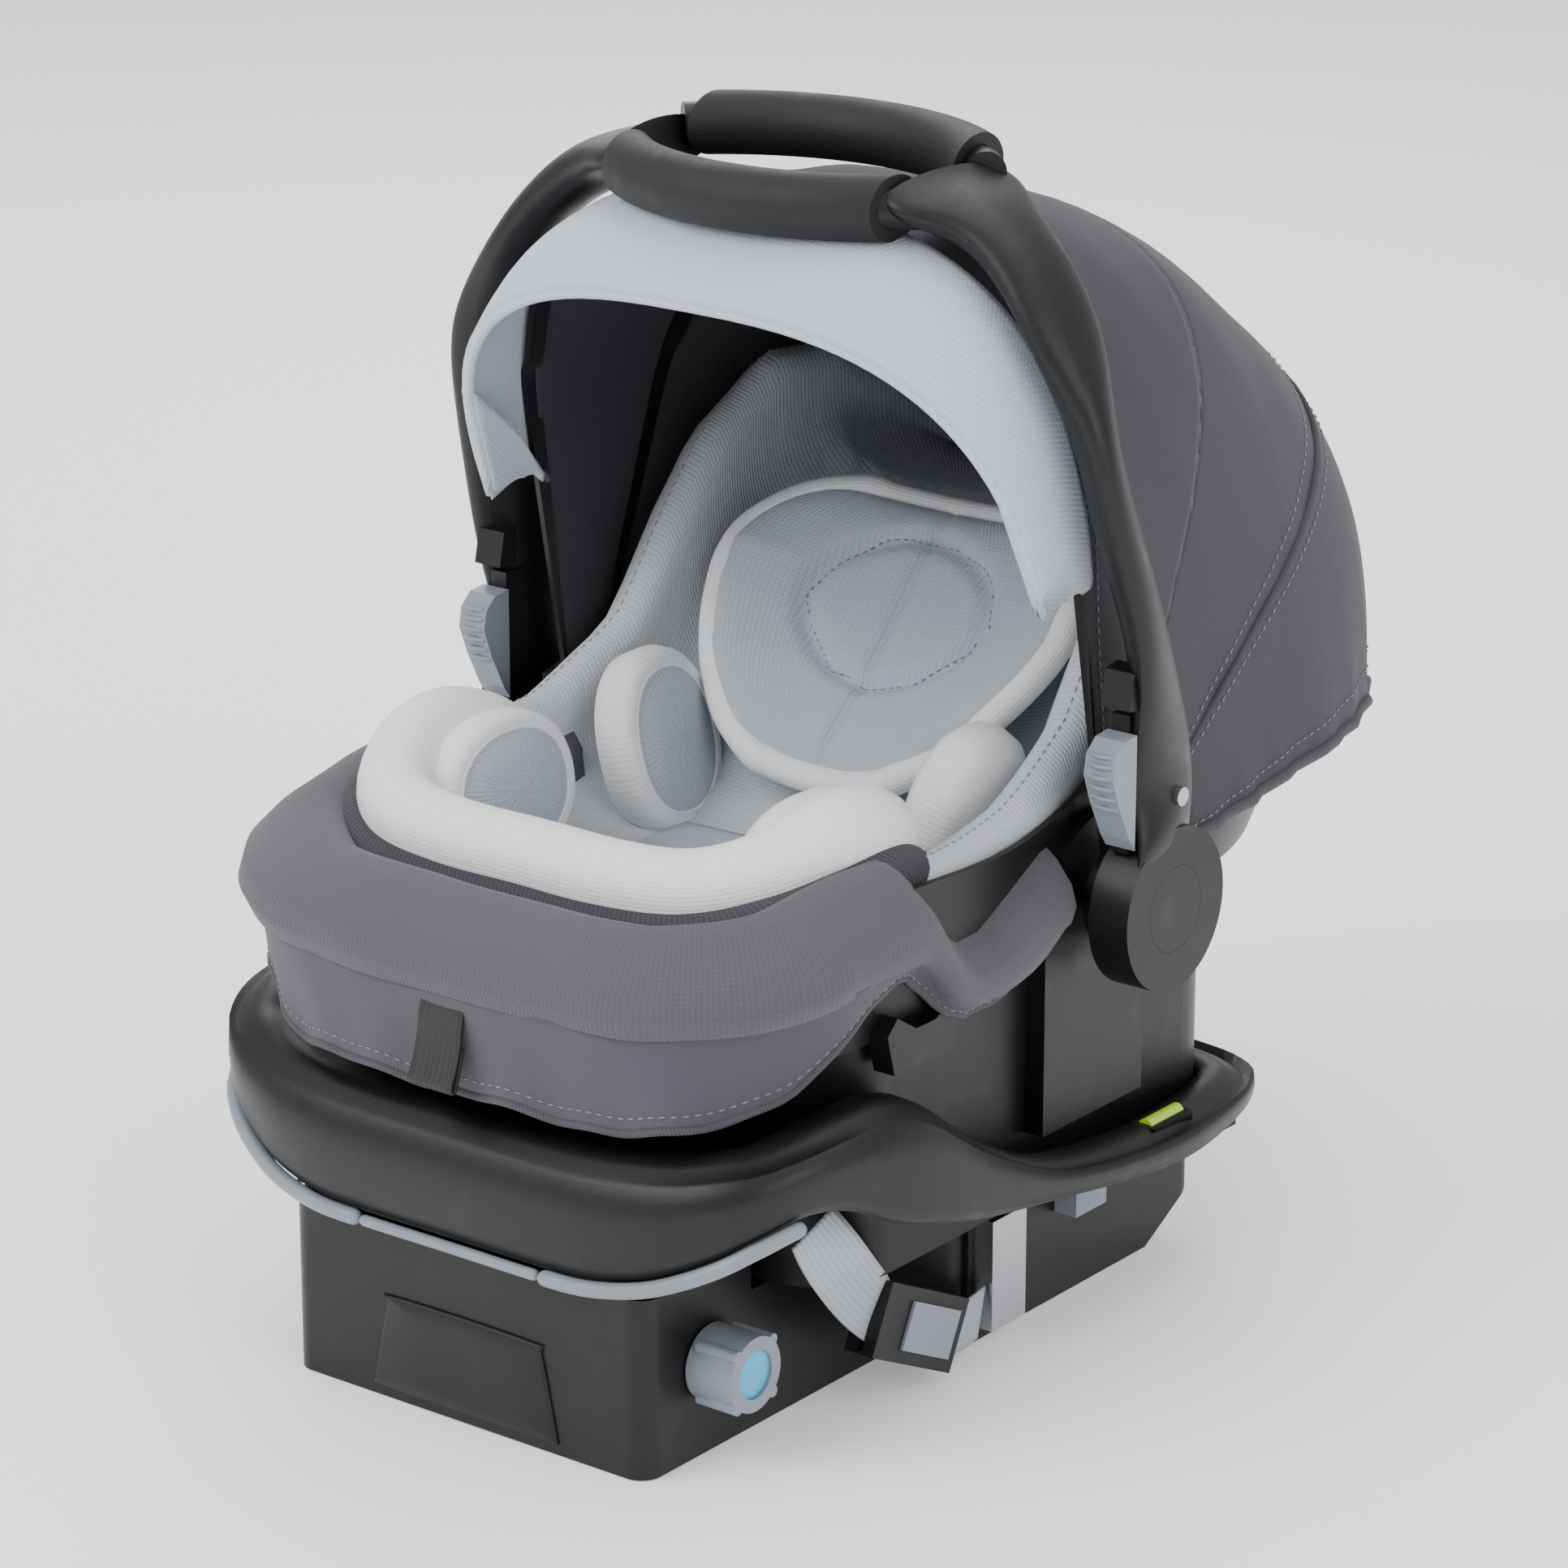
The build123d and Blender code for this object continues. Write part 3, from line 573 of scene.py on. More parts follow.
def canopy_rows(settings, a0, a1, count, sag, ease=0.0, drop=0.0, hem=None, low=160.0):
    """Rows across the canopy from angle a0 to a1, rearward positive; sag between them, ease at the last."""
    reach, half = settings.reach / MM, settings.half_width / MM
    t = np.linspace(-1, 1, ROW_POINTS)
    rows = []
    for k in np.linspace(0, 1, count):
        a = math.radians(a0 + (a1 - a0) * k)
        r_max = reach - sag * math.sin(math.pi * k) ** 2 - ease * k ** 2
        bottom = low if hem is None else hem[0] + (hem[1] - hem[0]) * k
        legs = np.abs(t) > KNEE
        turn = np.clip(np.abs(t) / KNEE, 0, 1) * math.pi / 2
        x = np.sign(t) * half * np.sin(turn) ** CROWN
        knee = 0.5 * reach
        r = knee + (r_max - knee) * np.cos(turn) ** CROWN
        fall = (np.abs(t) - KNEE) / 0.28
        r = np.where(legs, knee - fall * (knee - bottom), r)
        x = np.where(legs, np.sign(t) * (half - drop * fall), x)
        rows.append(np.stack([x, r * math.sin(a), AXIS_Z + r * math.cos(a)], 1))
    return np.array(rows)


def twill_below(first):
    """Picks twill for a panel's side corners, up to a curved seam that starts at row first."""
    def pick(i, j):
        at_side = j < 18 or j > 46
        return TWILL if at_side and i < first + 6 * math.sin(j * 0.1) else CLOTH
    return pick


# name, node it stands for, its two angles, its two bodies, first row of twill, row of the seam, rests on
CANOPY_PANELS = (
    ("canopy_front_panel", "canopy_front_fabric", -8.5, 20.2, ("canopy_front", "canopy_middle"), 7, 3,
     ["canopy_front_bow", "canopy_middle_bow"]),
    ("canopy_middle_panel", "canopy_middle_fabric", 19.8, 50.2, ("canopy_middle", "carrier"), -1, 22,
     ["canopy_middle_bow"]))


class CARSEAT_OT_canopy(CarSeatStep, bpy.types.Operator):
    """Build the canopy cloth with its lining, seams and edge bindings"""
    bl_idname = "carseat.canopy"
    bl_label = "Canopy"

    def build(self, scene, looks):
        s = scene.carseat_canopy
        cloth = looks.by_slot["canopy_fabric"]
        for name, node, a0, a1, bodies, twill, seam_row, rests_on in CANOPY_PANELS:
            rows = canopy_rows(s, a0, a1, 26, s.sag / MM, low=48)
            out = unit(rows - AXIS)
            rows = rows + out * ripple(rows, 0.9, (9, 14, 6), (4, 22, 11), (15, 5, 9))[..., None]
            obj = piece(name, rows, [cloth, looks.lining, looks.twill, looks.lining], pick=twill_below(twill))
            thicken(obj, s.thickness, LINING)
            seam = stitches(f"{name}_seam", rows[seam_row] + out[seam_row] * 0.5, looks.thread)
            for thing in (obj, seam):
                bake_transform(thing)
            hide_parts(node)
            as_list(rests_on)
        self.rear(s, looks)

    def rear(self, s, looks):
        """The panel behind the last bow, gathered into its hem and standing clear of the middle one."""
        rows = canopy_rows(s, 49.2, 83, 26, -7.0, ease=16, low=70)
        out = unit(rows - AXIS)
        rows = rows + out * 1.6
        gather = np.linspace(0, 1, 26)[:, None] ** 3
        fold = np.sin(np.linspace(0, 1, ROW_POINTS) * 2 * math.pi * 23)[None, :] * gather * 2.0
        rows = rows + out * (fold + ripple(rows, 1.0, (8, 12, 5), (17, 6, 9)))[..., None]
        panel = piece("canopy_rear_panel", rows, [looks.by_slot["canopy_fabric"], looks.lining])
        thicken(panel, s.thickness, LINING)
        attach(panel, "carrier")
        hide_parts("canopy_rear")
        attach(tube("canopy_rear_hem", rows[-1], 3.4, looks.binding, sides=10), "carrier")
        for i, name in ((2, "canopy_rear_seam"), (22, "canopy_rear_hem_seam")):
            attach(stitches(name, rows[i] + out[i] * 0.5, looks.thread), "carrier")


class CARSEAT_OT_visor(CarSeatStep, bpy.types.Operator):
    """Build the pale visor that stands out from the front bow"""
    bl_idname = "carseat.visor"
    bl_label = "Visor"

    def build(self, scene, looks):
        s = scene.carseat_canopy
        rows = canopy_rows(s, -8.6, -21.4, 16, -2.0, ease=22, drop=6, hem=(168, 246))
        rows = rows + unit(rows - AXIS) * 1.5
        cloth = looks.by_slot["visor_fabric"]
        obj = piece("canopy_visor_panel", rows, [cloth, cloth])
        thicken(obj, 0.0045)
        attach(obj, "canopy_front")
        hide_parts("canopy_visor")
        edge = tube("canopy_visor_edge", rows[-1], 3.0, cloth, sides=10)
        seam = tube("canopy_visor_seam", rows[0], 2.2, looks.binding, sides=8)
        for thing in (edge, seam):
            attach(thing, "canopy_front")


class CARSEAT_OT_seat_pad(CarSeatStep, bpy.types.Operator):
    """Build the padded bowl that lines the seat"""
    bl_idname = "carseat.seat_pad"
    bl_label = "Seat pad"

    def build(self, scene, looks):
        wing = scene.carseat_cushions.wing / MM
        outline = curve(both_sides(SEAT[:-1]) + [SEAT[-1]], 132, closed=True, dims=2)
        centre = np.stack([np.zeros(len(outline)), np.clip(outline[:, 1], -225, 115)], 1)
        inward = unit(centre - outline)
        top = along(RIM, outline[:, 1]) + np.interp(outline[:, 1], (-160, -40, 40), (-14, 2, 16))
        edge = outline + inward * 8
        rolled = [(0, -42), (-0.5, -18), (0.5, -2), (0.32 * wing, 0.55 * wing), (wing, wing),
                  (1.7 * wing, 0.8 * wing), (2.1 * wing, 0.1 * wing)]
        rows = [np.c_[edge + inward * d, top + z] for d, z in rolled]
        lip = edge + inward * 2.1 * wing
        foot = along(SPINE, centre[:, 1])
        for k in np.linspace(0, 1, 26)[1:]:
            a = k * math.pi / 2
            away, down = math.cos(a) ** 0.62, math.sin(a) ** 0.62
            xy = centre + (lip - centre) * away
            floor = np.where(xy[:, 1] < 150, along(SPINE, xy[:, 1]), 404)
            rows.append(np.c_[xy, top - (top - (floor * 0.6 + foot * 0.4)) * down])
        rows = np.array(rows)
        rows[..., 2] += ripple(rows, 1.2, (7, 9, 5), (3, 14, 8), (12, 4, 6))
        pad = piece("seat_pad_cushion", rows, looks.by_slot["pad_fabric"], ring=True)
        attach(pad, "carrier")
        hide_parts("seat_pad")
        crest = np.vstack([rows[4], rows[4][:1]])
        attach(stitches("seat_pad_seam", crest, looks.by_slot["insert_fabric"]), "carrier")


def cover_stations():
    """The front of the seat's outline, from the left hub to the right one, and its outward directions."""
    outline = curve(both_sides(SEAT[:7]), 120, dims=2)
    heading = unit(np.gradient(outline, axis=0))
    return outline, np.stack([heading[:, 1], -heading[:, 0]], 1)


class CARSEAT_OT_cover(CarSeatStep, bpy.types.Operator):
    """Build the padded edge of the seat cover, its skirt, seams and bound hem"""
    bl_idname = "carseat.cover"
    bl_label = "Seat cover"

    def build(self, scene, looks):
        s = scene.carseat_cover
        outline, out = cover_stations()
        crest = along(CREST, outline[:, 1])
        outward = np.c_[out, np.zeros(len(out))]
        bulge = s.bulge / MM
        corner = np.exp(-((np.abs(outline[:, 0]) - 150) / 26) ** 2) * (outline[:, 1] < -225)
        dip = np.exp(-((outline[:, 1] + 121) / 26) ** 2)
        section = [(-40, -30), (-38, -14), (-30, -3), (-20, 1), (-9, -3), (2, -12), (0.8 * bulge, -23),
                   (bulge, -33), (0.8 * bulge, -41), (4, -44), (2.2, -42)]
        rows = []
        for d, z in section:
            wide = np.where(d < 0, d * (1 - 0.55 * dip), d * (1 + 0.5 * corner))
            rows.append(np.c_[outline + out * wide[:, None], crest + z * (1 - 0.3 * dip)])
        rows = np.array(rows)
        rows += outward[None] * ripple(rows, 1.3, (6, 11, 4), (13, 5, 9))[..., None]
        pad = piece("seat_cover_edge", rows, looks.by_slot["cover_fabric"])
        thicken(pad, 0.003)
        seam_line = rows[8]
        hem = np.minimum(along(HEM, outline[:, 1]), seam_line[:, 2] - 9)
        station = np.arange(len(outline))
        wave = np.sin(station * 0.42) + 0.6 * np.sin(station * 0.97 + 1)
        fall = []
        for k in np.linspace(0, 1, 14):
            sway = out * ((0.8 * bulge + 1) * (1 - k) + 1.8 * k + wave * s.wave / MM * k)[:, None]
            z = seam_line[:, 2] * (1 - k) + (hem + wave * 2.5) * k
            fall.append(np.c_[outline + sway, z])
        fall = np.array(fall)
        skirt = piece("seat_cover_skirt", fall, looks.skirt)
        thicken(skirt, 0.0018, offset=0)
        binding = tube("seat_cover_hem", fall[-1], 2.6, looks.binding, sides=8)
        piping = tube("seat_cover_piping", seam_line + outward * 0.8, 1.7, looks.skirt, sides=8)
        sewn = stitches("seat_cover_hem_stitches", fall[11] + outward * 1.2, looks.thread)
        things = [pad, skirt, binding, piping, sewn]
        for name, side in (("left", -1), ("right", 1)):
            i = int(np.argmin(np.abs(outline[:, 0] - side * 140) + (outline[:, 1] > -200) * 999))
            seam = curve(rows[3:9, i] + np.r_[out[i], 0.4] * 0.7, 24)
            things.append(tube(f"seat_cover_corner_{name}", seam, 1.1, looks.band, sides=8, tilt=(1, 0.2, 0)))
        for thing in things:
            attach(thing, "carrier")
        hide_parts("seat_cover")


# Rings of a bolster from its outer face to its inner one: depth and size as shares of its radii.
BOLSTER_RINGS = ((-1.0, 0.002), (-1.0, 0.5), (-0.92, 0.78), (-0.6, 0.95), (0, 1.0), (0.45, 0.96),
                 (0.72, 0.86), (0.66, 0.78), (0.8, 0.66), (0.9, 0.4), (0.93, 0.002))
FACE_RING = 7                       # the ring where the inner face is sewn in


def bolster(name, centre, radii, lean, looks, side):
    """An upright padded oval with a white outer roll and a blue-grey inner face."""
    theta = np.linspace(0, 2 * math.pi, 48, endpoint=False)
    oval = np.stack([np.zeros(48), np.sign(np.cos(theta)) * np.abs(np.cos(theta)) ** 0.9 * radii[1],
                     np.sign(np.sin(theta)) * np.abs(np.sin(theta)) ** 0.9 * radii[2]], 1)
    rows = []
    for depth, size in BOLSTER_RINGS:
        layer = oval * size
        layer[:, 0] = -side * depth * radii[0]
        rows.append(layer)
    rows = np.array(rows)
    tilt = math.radians(lean) * side
    x, z = rows[..., 0].copy(), rows[..., 2].copy()
    rows[..., 0] = x * math.cos(tilt) + z * math.sin(tilt)
    rows[..., 2] = z * math.cos(tilt) - x * math.sin(tilt)
    rows += np.array([side * centre[0], centre[1], centre[2]])
    obj = piece(name, rows, [looks.white, looks.by_slot["insert_fabric"]], ring=True,
                pick=lambda i, j: 1 if i >= FACE_RING else 0)
    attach(obj, "carrier")
    cord = tube(f"{name}_piping", rows[FACE_RING], 1.3, looks.white, sides=8, closed=True,
                tilt=(side, 0, 0.01))
    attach(cord, "carrier")


def insert_seat(x, y):
    """Height of the insert's seat, crowned over the bottom of the bowl."""
    crown = math.cos(x / 92 * math.pi / 2) ** 0.5
    slope = math.sin(math.pi * min(1, max(0, (y + 232) / 205))) ** 0.4
    return along(SPINE, y) + 3 + 10 * crown * slope


class CARSEAT_OT_body_insert(CarSeatStep, bpy.types.Operator):
    """Build the newborn insert: front roll, dark band, leg and hip bolsters"""
    bl_idname = "carseat.body_insert"
    bl_label = "Body insert"

    def build(self, scene, looks):
        r = scene.carseat_cushions.roll / MM
        half = [(0, -243, 284), (52, -243, 284), (92, -236, 286), (118, -216, 293), (130, -188, 302),
                (132, -160, 304), (128, -134, 296), (124, -112, 278)]
        path = curve(both_sides(half), 110)
        fuller = 1 + 0.12 * np.exp(-((path[:, 1] + 168) / 34) ** 2)
        swell = r * fuller * np.interp(path[:, 1], (-243, -130, -110), (1, 1, 0.7))
        roll = tube("body_insert_roll", path, swell, looks.white, squash=1.12, sides=28)
        low = [(x * 1.07 + (8 if x else 0), y - 10 if y < -200 else y, z - 22) for x, y, z in half]
        path = curve(both_sides(low), 110)
        band = tube("body_insert_band", path, r * 0.98, looks.band, squash=1.05, sides=24)
        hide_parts("body_insert")
        for thing in (roll, band):
            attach(thing, "carrier")
        rows = [[(x, y, insert_seat(x, y)) for x in np.linspace(-91, 91, 41)]
                for y in np.linspace(-232, -28, 40)]
        seat = piece("body_insert_seat", rows, looks.by_slot["insert_fabric"])
        thicken(seat, 0.008)
        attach(seat, "carrier")
        for name, side in (("right", 1), ("left", -1)):
            bolster(f"leg_bolster_{name}", (103, -156, 279), (21, 54, 42), 9, looks, side)
            bolster(f"hip_bolster_{name}", (101, -22, 272), (19, 40, 52), 14, looks, side)


# The quilted oval of the head insert, as shares of its half width and of its height.
QUILT_WIDE, QUILT_HIGH, QUILT_MIDDLE = 0.52, 0.27, 0.60


class CARSEAT_OT_head_insert(CarSeatStep, bpy.types.Operator):
    """Build the quilted head insert with its white edge"""
    bl_idname = "carseat.head_insert"
    bl_label = "Head insert"

    def build(self, scene, looks):
        loft = scene.carseat_cushions.loft / MM
        count, across = 44, 57
        spine = curve([(0, -10, 268), (0, 15, 280), (0, 42, 300), (0, 66, 322), (0, 87, 345), (0, 104, 368),
                       (0, 116, 386)], count)
        widths = [(0, 46), (0.07, 66), (0.17, 81), (0.32, 97), (0.55, 111), (0.76, 111), (0.90, 96), (1, 66)]
        width = curve(widths, count, dims=1)[:, 1]
        u = np.linspace(-1, 1, across)
        v = np.linspace(0, 1, count)
        rise = np.interp(v, (0, 0.3, 0.7, 1), (10, 30, 34, 14))
        heading = unit(np.gradient(spine, axis=0))
        up = unit(np.cross(np.array([1.0, 0, 0]), heading))
        front, back = [], []
        for i in range(count):
            cross = np.c_[u * width[i], np.zeros(across), np.zeros(across)]
            lift = rise[i] * np.abs(u) ** 2.4
            full = (1 - np.abs(u) ** 5) ** 0.5 * (1 - abs(2 * v[i] - 1) ** 6) ** 0.5
            ring = np.sqrt((u / QUILT_WIDE) ** 2 + ((v[i] - QUILT_MIDDLE) / QUILT_HIGH) ** 2)
            groove = 6.5 * np.exp(-((ring - 1) / 0.10) ** 2) + 4.5 * np.exp(-(u / 0.035) ** 2)
            puff = loft * full - groove * full
            base = spine[i] + cross + up[i] * lift[:, None]
            front.append(base + up[i] * puff[:, None])
            back.append(base - up[i] * (4 + 10 * full)[:, None])
        front, back = np.array(front), np.array(back)
        rows = np.concatenate([front, back[:, ::-1]], axis=1)
        cushion = piece("head_insert_cushion", rows, looks.by_slot["insert_fabric"], ring=True)
        border = [np.vstack([face[0, ::-1], face[1:, 0], face[-1, 1:], face[-2:0:-1, -1]])
                  for face in (front, back)]
        edge = border[0] * 0.5 + border[1] * 0.5
        piping = tube("head_insert_edge", curve(edge[::6], 150, closed=True), 8.5, looks.white, sides=14,
                      closed=True, tilt=(0.02, -0.6, 0.8))
        quilt = []
        for angle in np.linspace(0, 2 * math.pi, 90)[::3]:
            i = int(round((QUILT_MIDDLE + QUILT_HIGH * math.sin(angle)) * (count - 1)))
            j = int(round((QUILT_WIDE * math.cos(angle) + 1) / 2 * (across - 1)))
            quilt.append(front[i, j] + up[i] * 0.6)
        seam = stitches("head_insert_quilting", curve(quilt, 120), looks.thread, pitch=5.0, length=3.0,
                        width=0.45)
        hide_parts("head_insert")
        for thing in (cushion, piping, seam):
            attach(thing, "carrier")


# Right half of the base's rim from the feet to the head: x, y and the heights of its lower and upper edge.
BASE_RIM = [(0, -317, 104, 170), (60, -317, 104, 170), (90, -316, 105, 171), (118, -312, 110, 173),
            (138, -306, 117, 175), (158, -297, 127, 179), (174, -284, 138, 182), (186, -262, 146, 187),
            (193, -235, 142, 191), (198, -205, 127, 192), (201, -176, 117, 180), (202.5, -131, 106, 148),
            (203.5, -70, 96, 118), (204, 8, 84, 106), (200, 63, 80, 103), (188, 122, 83, 101),
            (168, 148, 83, 100), (120, 160, 81, 99), (0, 166, 80, 98)]
RIM_POINTS = 200
WELL_FLOOR = 80                     # height of the bottom of the well


class CARSEAT_OT_base_rim(CarSeatStep, bpy.types.Operator):
    """Build the rolled rim of the base with its well and sloping underside"""
    bl_idname = "carseat.base_rim"
    bl_label = "Base rim"

    def build(self, scene, looks):
        s = scene.carseat_base
        line = curve(both_sides(BASE_RIM[:-1]) + [BASE_RIM[-1]], RIM_POINTS, closed=True, dims=2)
        xy, low, top = line[:, :2], line[:, 2], line[:, 3]
        heading = unit(np.roll(xy, -1, 0) - np.roll(xy, 1, 0))
        out = np.stack([heading[:, 1], -heading[:, 0]], 1)
        core = np.stack([np.clip(xy[:, 0], -122, 122), np.clip(xy[:, 1], -172, 96)], 1)
        well = core + unit(xy - core) * 45.5
        box = np.stack([np.clip(xy[:, 0], -120, 120), np.clip(xy[:, 1], -305, 138)], 1)
        swell = s.swell / MM
        mid = (low + top) / 2
        rolled = [(-20, low + 9), (-9, low + 2.5), (-3.5, low), (0.2, low + 3.5),
                  (0.7 * swell, low * 0.7 + mid * 0.3), (swell, mid), (0.8 * swell, mid * 0.35 + top * 0.65),
                  (-1, top - 9), (-6, top - 3.5), (-13, top - 0.5), (-20, top - 0.4), (-27, top - 3)]
        rows = [np.c_[box * 0.985, np.minimum(low + 6, 101)]]
        rows += [np.c_[xy + out * d, z] for d, z in rolled]
        lip = rows[-1][:, :2]
        inner = np.where(np.linalg.norm(xy - well, axis=1)[:, None] > 30, well, lip * 0.995)
        bottom = np.full(RIM_POINTS, WELL_FLOOR)
        rows += [np.c_[lip * 0.35 + inner * 0.65, top - 13], np.c_[inner, top - 22],
                 np.c_[inner * 0.998, bottom + 1], np.c_[well * 0.6, bottom], np.c_[well * 0.002, bottom]]
        rim = piece("base_rim_shell", np.array(rows), looks.by_slot["black_plastic"], ring=True)
        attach(rim, "base")
        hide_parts("base_rim")
        keep = (xy[:, 1] < -262) | (np.abs(xy[:, 0]) < 100) & (xy[:, 1] < 0)
        start = int(np.argmax(~keep))
        turned = [(start + k) % RIM_POINTS for k in range(RIM_POINTS)]
        path = np.c_[xy + out * 1.2, low - 2.6][[k for k in turned if keep[k]]]
        centre = np.abs(path[:, 0]) < 62
        trim = s.trim / MM
        for name, part, radius, node in (
                ("base_trim_middle", path[centre], trim * 0.7, "base_trim_centre"),
                ("base_trim_right", path[~centre & (path[:, 0] > 0)], trim, "base_trim_strip"),
                ("base_trim_left", path[~centre & (path[:, 0] < 0)], trim, None)):
            strip = tube(name, part, radius, looks.by_slot["grey_plastic"], squash=0.95, sides=14)
            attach(strip, "base")
            if node:
                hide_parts(node)
        plate = [(-62, 6), (-52, 52), (-46, 58), (46, 58), (52, 52), (62, 6)]
        outer = np.array([(x, -307.2, z) for x, z in curve(plate, 60, dims=2)])
        rows = [outer, outer + (0, -0.8, 0), outer * (0.95, 1, 0.96) + (0, -1.7, 1.2),
                outer * (0.5, 1, 0.6) + (0, -1.8, 12), outer * (0.002, 1, 0.002) + (0, -1.8, 30)]
        panel = piece("base_front_panel", np.array(rows), looks.by_slot["black_plastic"], ring=True)
        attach(panel, "base")


def strap(name, centre, wide, width, thickness, look):
    """A flat strap along a line, its width along the given directions."""
    wide = unit(np.array(wide, float))
    rows = [centre + wide * width * k for k in np.linspace(-0.5, 0.5, 9)]
    obj = piece(name, rows, look)
    thicken(obj, thickness * MM, offset=0)
    return obj


BUTTON_RIBS = ((-45.5, 304), (-48.0, 310), (-50.3, 316), (-52.2, 322), (-51.6, 328), (-50.2, 333))      # y, z


class CARSEAT_OT_button_ribs(CarSeatStep, bpy.types.Operator):
    """Add the finger ribs to the handle's release buttons"""
    bl_idname = "carseat.button_ribs"
    bl_label = "Button ribs"

    def build(self, scene, looks):
        grey = looks.by_slot["grey_plastic"]
        for name, side in (("right", 1), ("left", -1)):
            for k, (y, z) in enumerate(BUTTON_RIBS, 1):
                line = ((201.5, y + 0.9), (208, y - 0.5), (214.5, y + 0.9))
                path = curve([(side * x, bowed, z) for x, bowed in line], 12)
                rib = tube(f"release_button_rib_{name}_{k}", path, 1.3, grey, sides=10)
                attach(rib, f"button_{name}")


class CARSEAT_OT_webbing(CarSeatStep, bpy.types.Operator):
    """Build the anchor webbing on both sides and the adjuster tail at the front"""
    bl_idname = "carseat.webbing"
    bl_label = "Webbing"

    def build(self, scene, looks):
        grey = looks.by_slot["grey_webbing"]
        for name, side in (("right", 1), ("left", -1)):
            line = ((168, -236, 128), (171, -226, 112), (168, -208, 92), (161, -186, 72), (158, -168, 56))
            path = curve([(side * x, y, z) for x, y, z in line], 40)
            turn = np.linspace(0, 1, len(path))
            wide = np.stack([side * 0.55 * np.sin(turn * math.pi), 0.9 - 0.35 * turn, 0.35 + 0.55 * turn], 1)
            upper = strap(f"anchor_webbing_{name}", path, wide, 34, 1.8, grey)
            path = curve([(side * 157.5, -112, 28), (side * 158.5, -96, 23), (side * 157.5, -78, 24)], 24)
            lower = strap(f"anchor_webbing_lower_{name}", path, (0, 0.25, 1.0), 28, 1.8, grey)
            for thing in (upper, lower):
                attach(thing, "base")
            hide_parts(f"anchor_strap_{name}")
        path = curve([(0, -315, 240), (0, -319, 228), (0, -322, 212), (0, -326, 200), (0, -329, 193),
                      (0, -326, 190), (0, -323, 198), (0, -319, 212)], 48)
        tail = strap("adjuster_tail", path, (1, 0, 0), 28, 1.6, looks.by_slot["black_webbing"])
        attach(tail, "carrier")
        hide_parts("adjuster_strap")


def facing(place, target):
    """The rotation that points a lamp or camera at a target."""
    return (Vector(target) - Vector(place)).to_track_quat("-Z", "Y").to_euler()


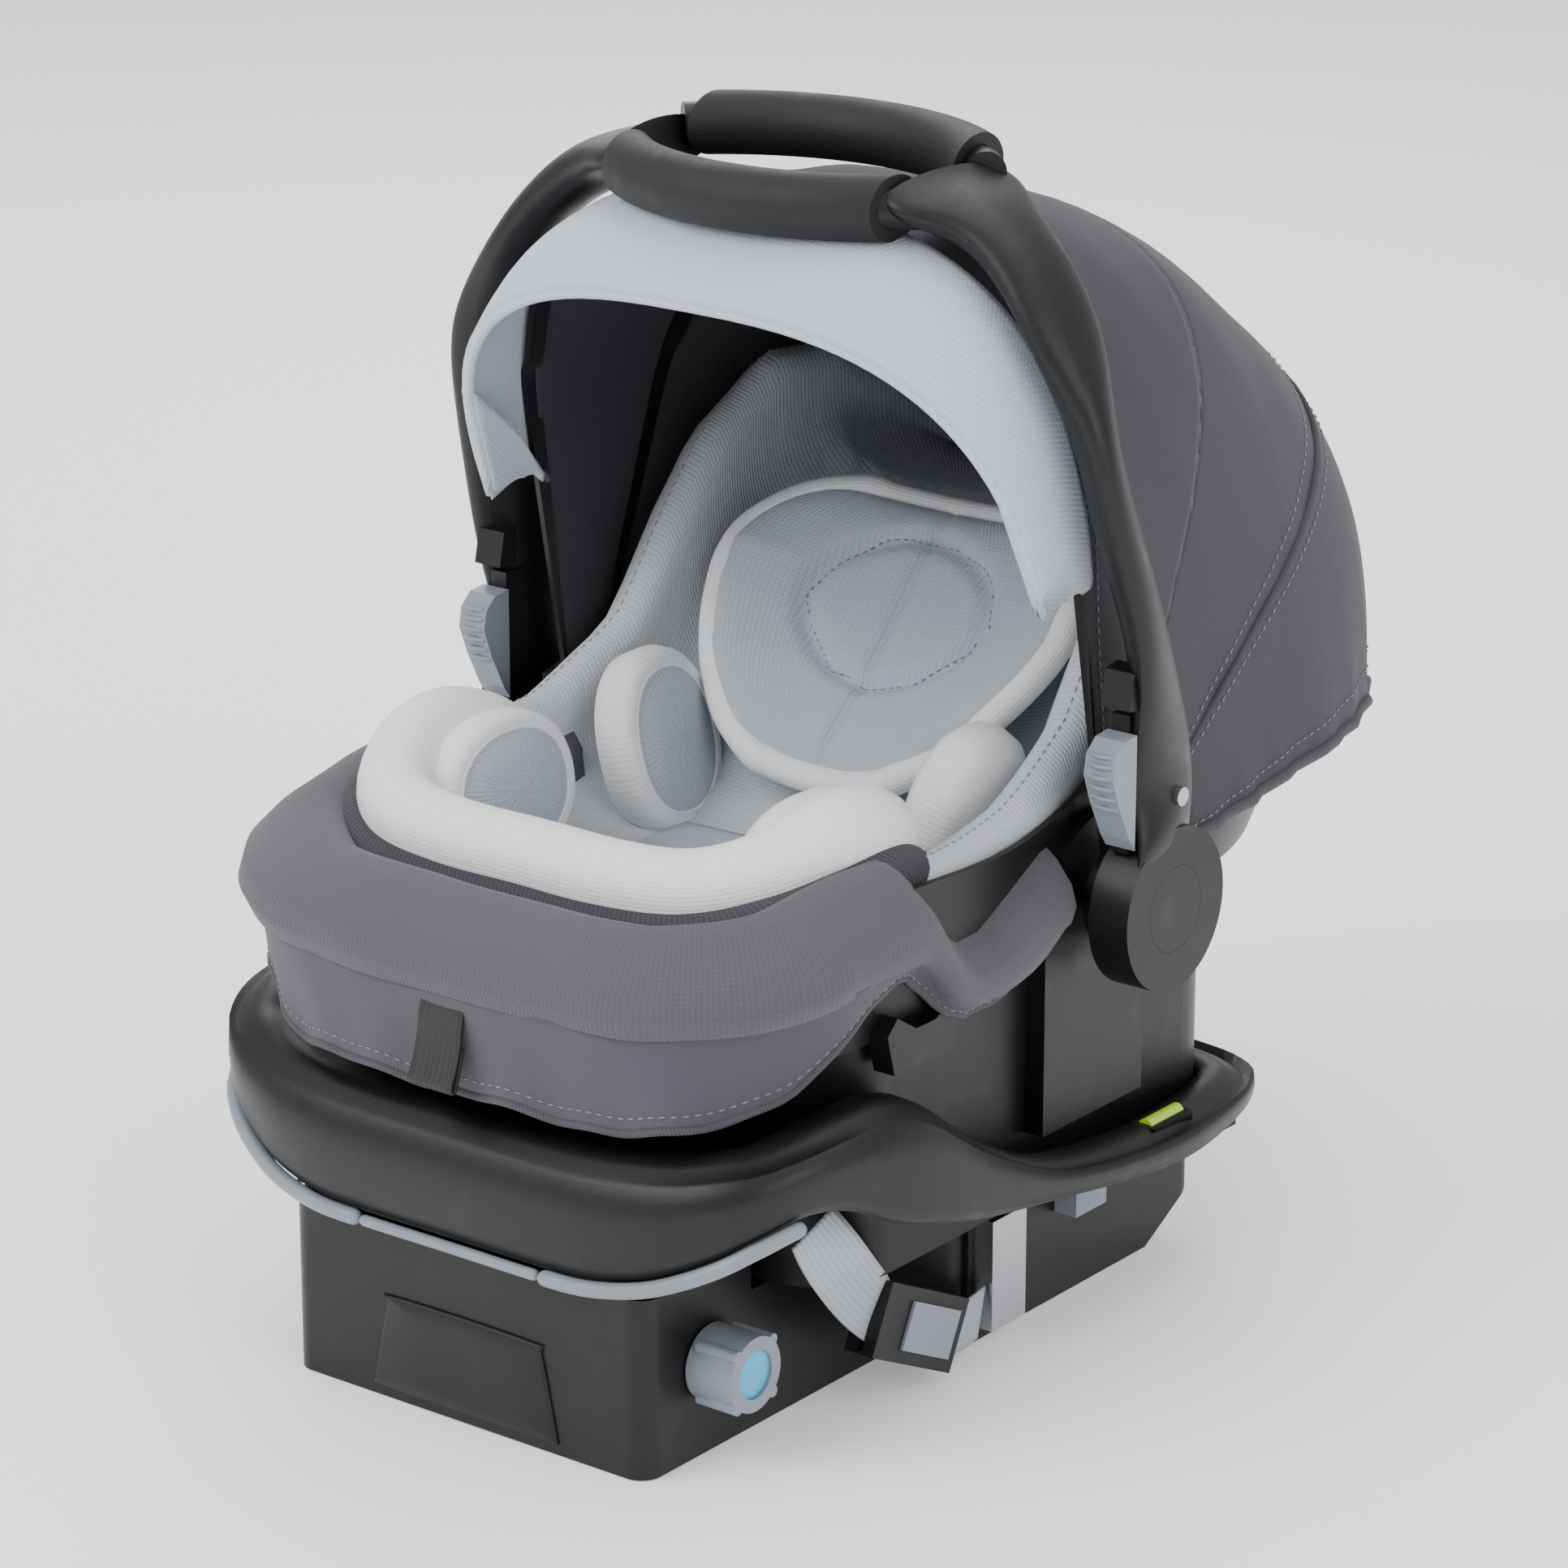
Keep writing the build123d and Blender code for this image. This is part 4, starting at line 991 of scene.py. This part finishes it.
class CARSEAT_OT_stage(CarSeatStep, bpy.types.Operator):
    """Set up the floor, the soft studio light and the camera"""
    bl_idname = "carseat.stage"
    bl_label = "Stage"

    def build(self, scene, looks):
        s = scene.carseat_stage
        look = Look("floor", tuple(s.floor), 0.9)
        dust = look.noise(3, 2)
        look.shade(dust, 0.985, 1.0)
        look.put(look.shader.inputs["Emission Color"], (1, 1, 1, 1))
        look.put(look.shader.inputs["Emission Strength"], 0.3)
        turn = np.linspace(0, 2 * math.pi, 96, endpoint=False)
        rings = (1, 800, 3000, 12000, 60000)
        rows = [np.c_[np.cos(turn) * r, np.sin(turn) * r, turn * 0 - 0.6] for r in rings]
        floor = piece("stage_floor", rows, look.material, ring=True)
        for name, place, size, power in (
                ("key", (-1.2, -2.6, 2.7), 2.2, s.key), ("fill", (3.0, -0.8, 1.9), 2.4, s.fill),
                ("top", (0.2, 0.6, 3.2), 2.6, s.fill), ("rim", (-1.8, 1.9, 2.0), 1.6, s.fill * 0.7)):
            data = bpy.data.lights.new(f"light_{name}", "AREA")
            data.energy, data.size = power, size
            lamp = bpy.data.objects.new(f"light_{name}", data)
            lamp.location = place
            lamp.rotation_euler = facing(place, (0, 0, 0.3))
            scene.collection.objects.link(lamp)
        world = bpy.data.worlds.new("studio")
        world.use_nodes = True
        sky = world.node_tree.nodes["Background"].inputs
        sky["Color"].default_value = (0.95, 0.96, 1.0, 1)
        sky["Strength"].default_value = 0.8
        scene.world = world
        data = bpy.data.cameras.new("camera")
        data.lens, data.sensor_width = s.lens, 36.0
        camera = bpy.data.objects.new("camera", data)
        camera.location = (1.7542, -2.3082, 1.2450)
        camera.rotation_euler = facing(camera.location, (0, -0.042, 0.273))
        scene.collection.objects.link(camera)
        scene.camera = camera


STEPS = (CARSEAT_OT_looks, CARSEAT_OT_base_rim, CARSEAT_OT_button_ribs, CARSEAT_OT_webbing,
         CARSEAT_OT_seat_pad, CARSEAT_OT_cover, CARSEAT_OT_body_insert, CARSEAT_OT_head_insert,
         CARSEAT_OT_canopy, CARSEAT_OT_visor, CARSEAT_OT_stage)
SETTINGS = {"carseat_canopy": CanopySettings, "carseat_cushions": CushionSettings,
            "carseat_cover": CoverSettings, "carseat_base": BaseSettings, "carseat_stage": StageSettings}


class CARSEAT_PT_panel(bpy.types.Panel):
    """Sizes and steps of the car seat, in the sidebar of the 3-D view"""
    bl_label = "Car seat"
    bl_idname = "CARSEAT_PT_panel"
    bl_space_type = "VIEW_3D"
    bl_region_type = "UI"
    bl_category = "Car seat"

    def draw(self, context):
        for name, group in SETTINGS.items():
            column = self.layout.column(align=True)
            for prop in group.__annotations__:
                column.prop(getattr(context.scene, name), prop)
        for step in STEPS:
            self.layout.operator(step.bl_idname)


def register():
    for group in SETTINGS.values():
        bpy.utils.register_class(group)
    for name, group in SETTINGS.items():
        setattr(bpy.types.Scene, name, PointerProperty(type=group))
    for step in STEPS:
        bpy.utils.register_class(step)
    bpy.utils.register_class(CARSEAT_PT_panel)


def unregister():
    bpy.utils.unregister_class(CARSEAT_PT_panel)
    for step in reversed(STEPS):
        bpy.utils.unregister_class(step)
    for name, group in SETTINGS.items():
        delattr(bpy.types.Scene, name)
        bpy.utils.unregister_class(group)


def main():
    register()
    bpy.ops.carseat.looks()
    bpy.ops.carseat.base_rim()
    bpy.ops.carseat.button_ribs()
    bpy.ops.carseat.webbing()
    bpy.ops.carseat.seat_pad()
    bpy.ops.carseat.cover()
    bpy.ops.carseat.body_insert()
    bpy.ops.carseat.head_insert()
    bpy.ops.carseat.canopy()
    bpy.ops.carseat.visor()
    bpy.ops.carseat.stage()


if __name__ == "__main__":
    main()
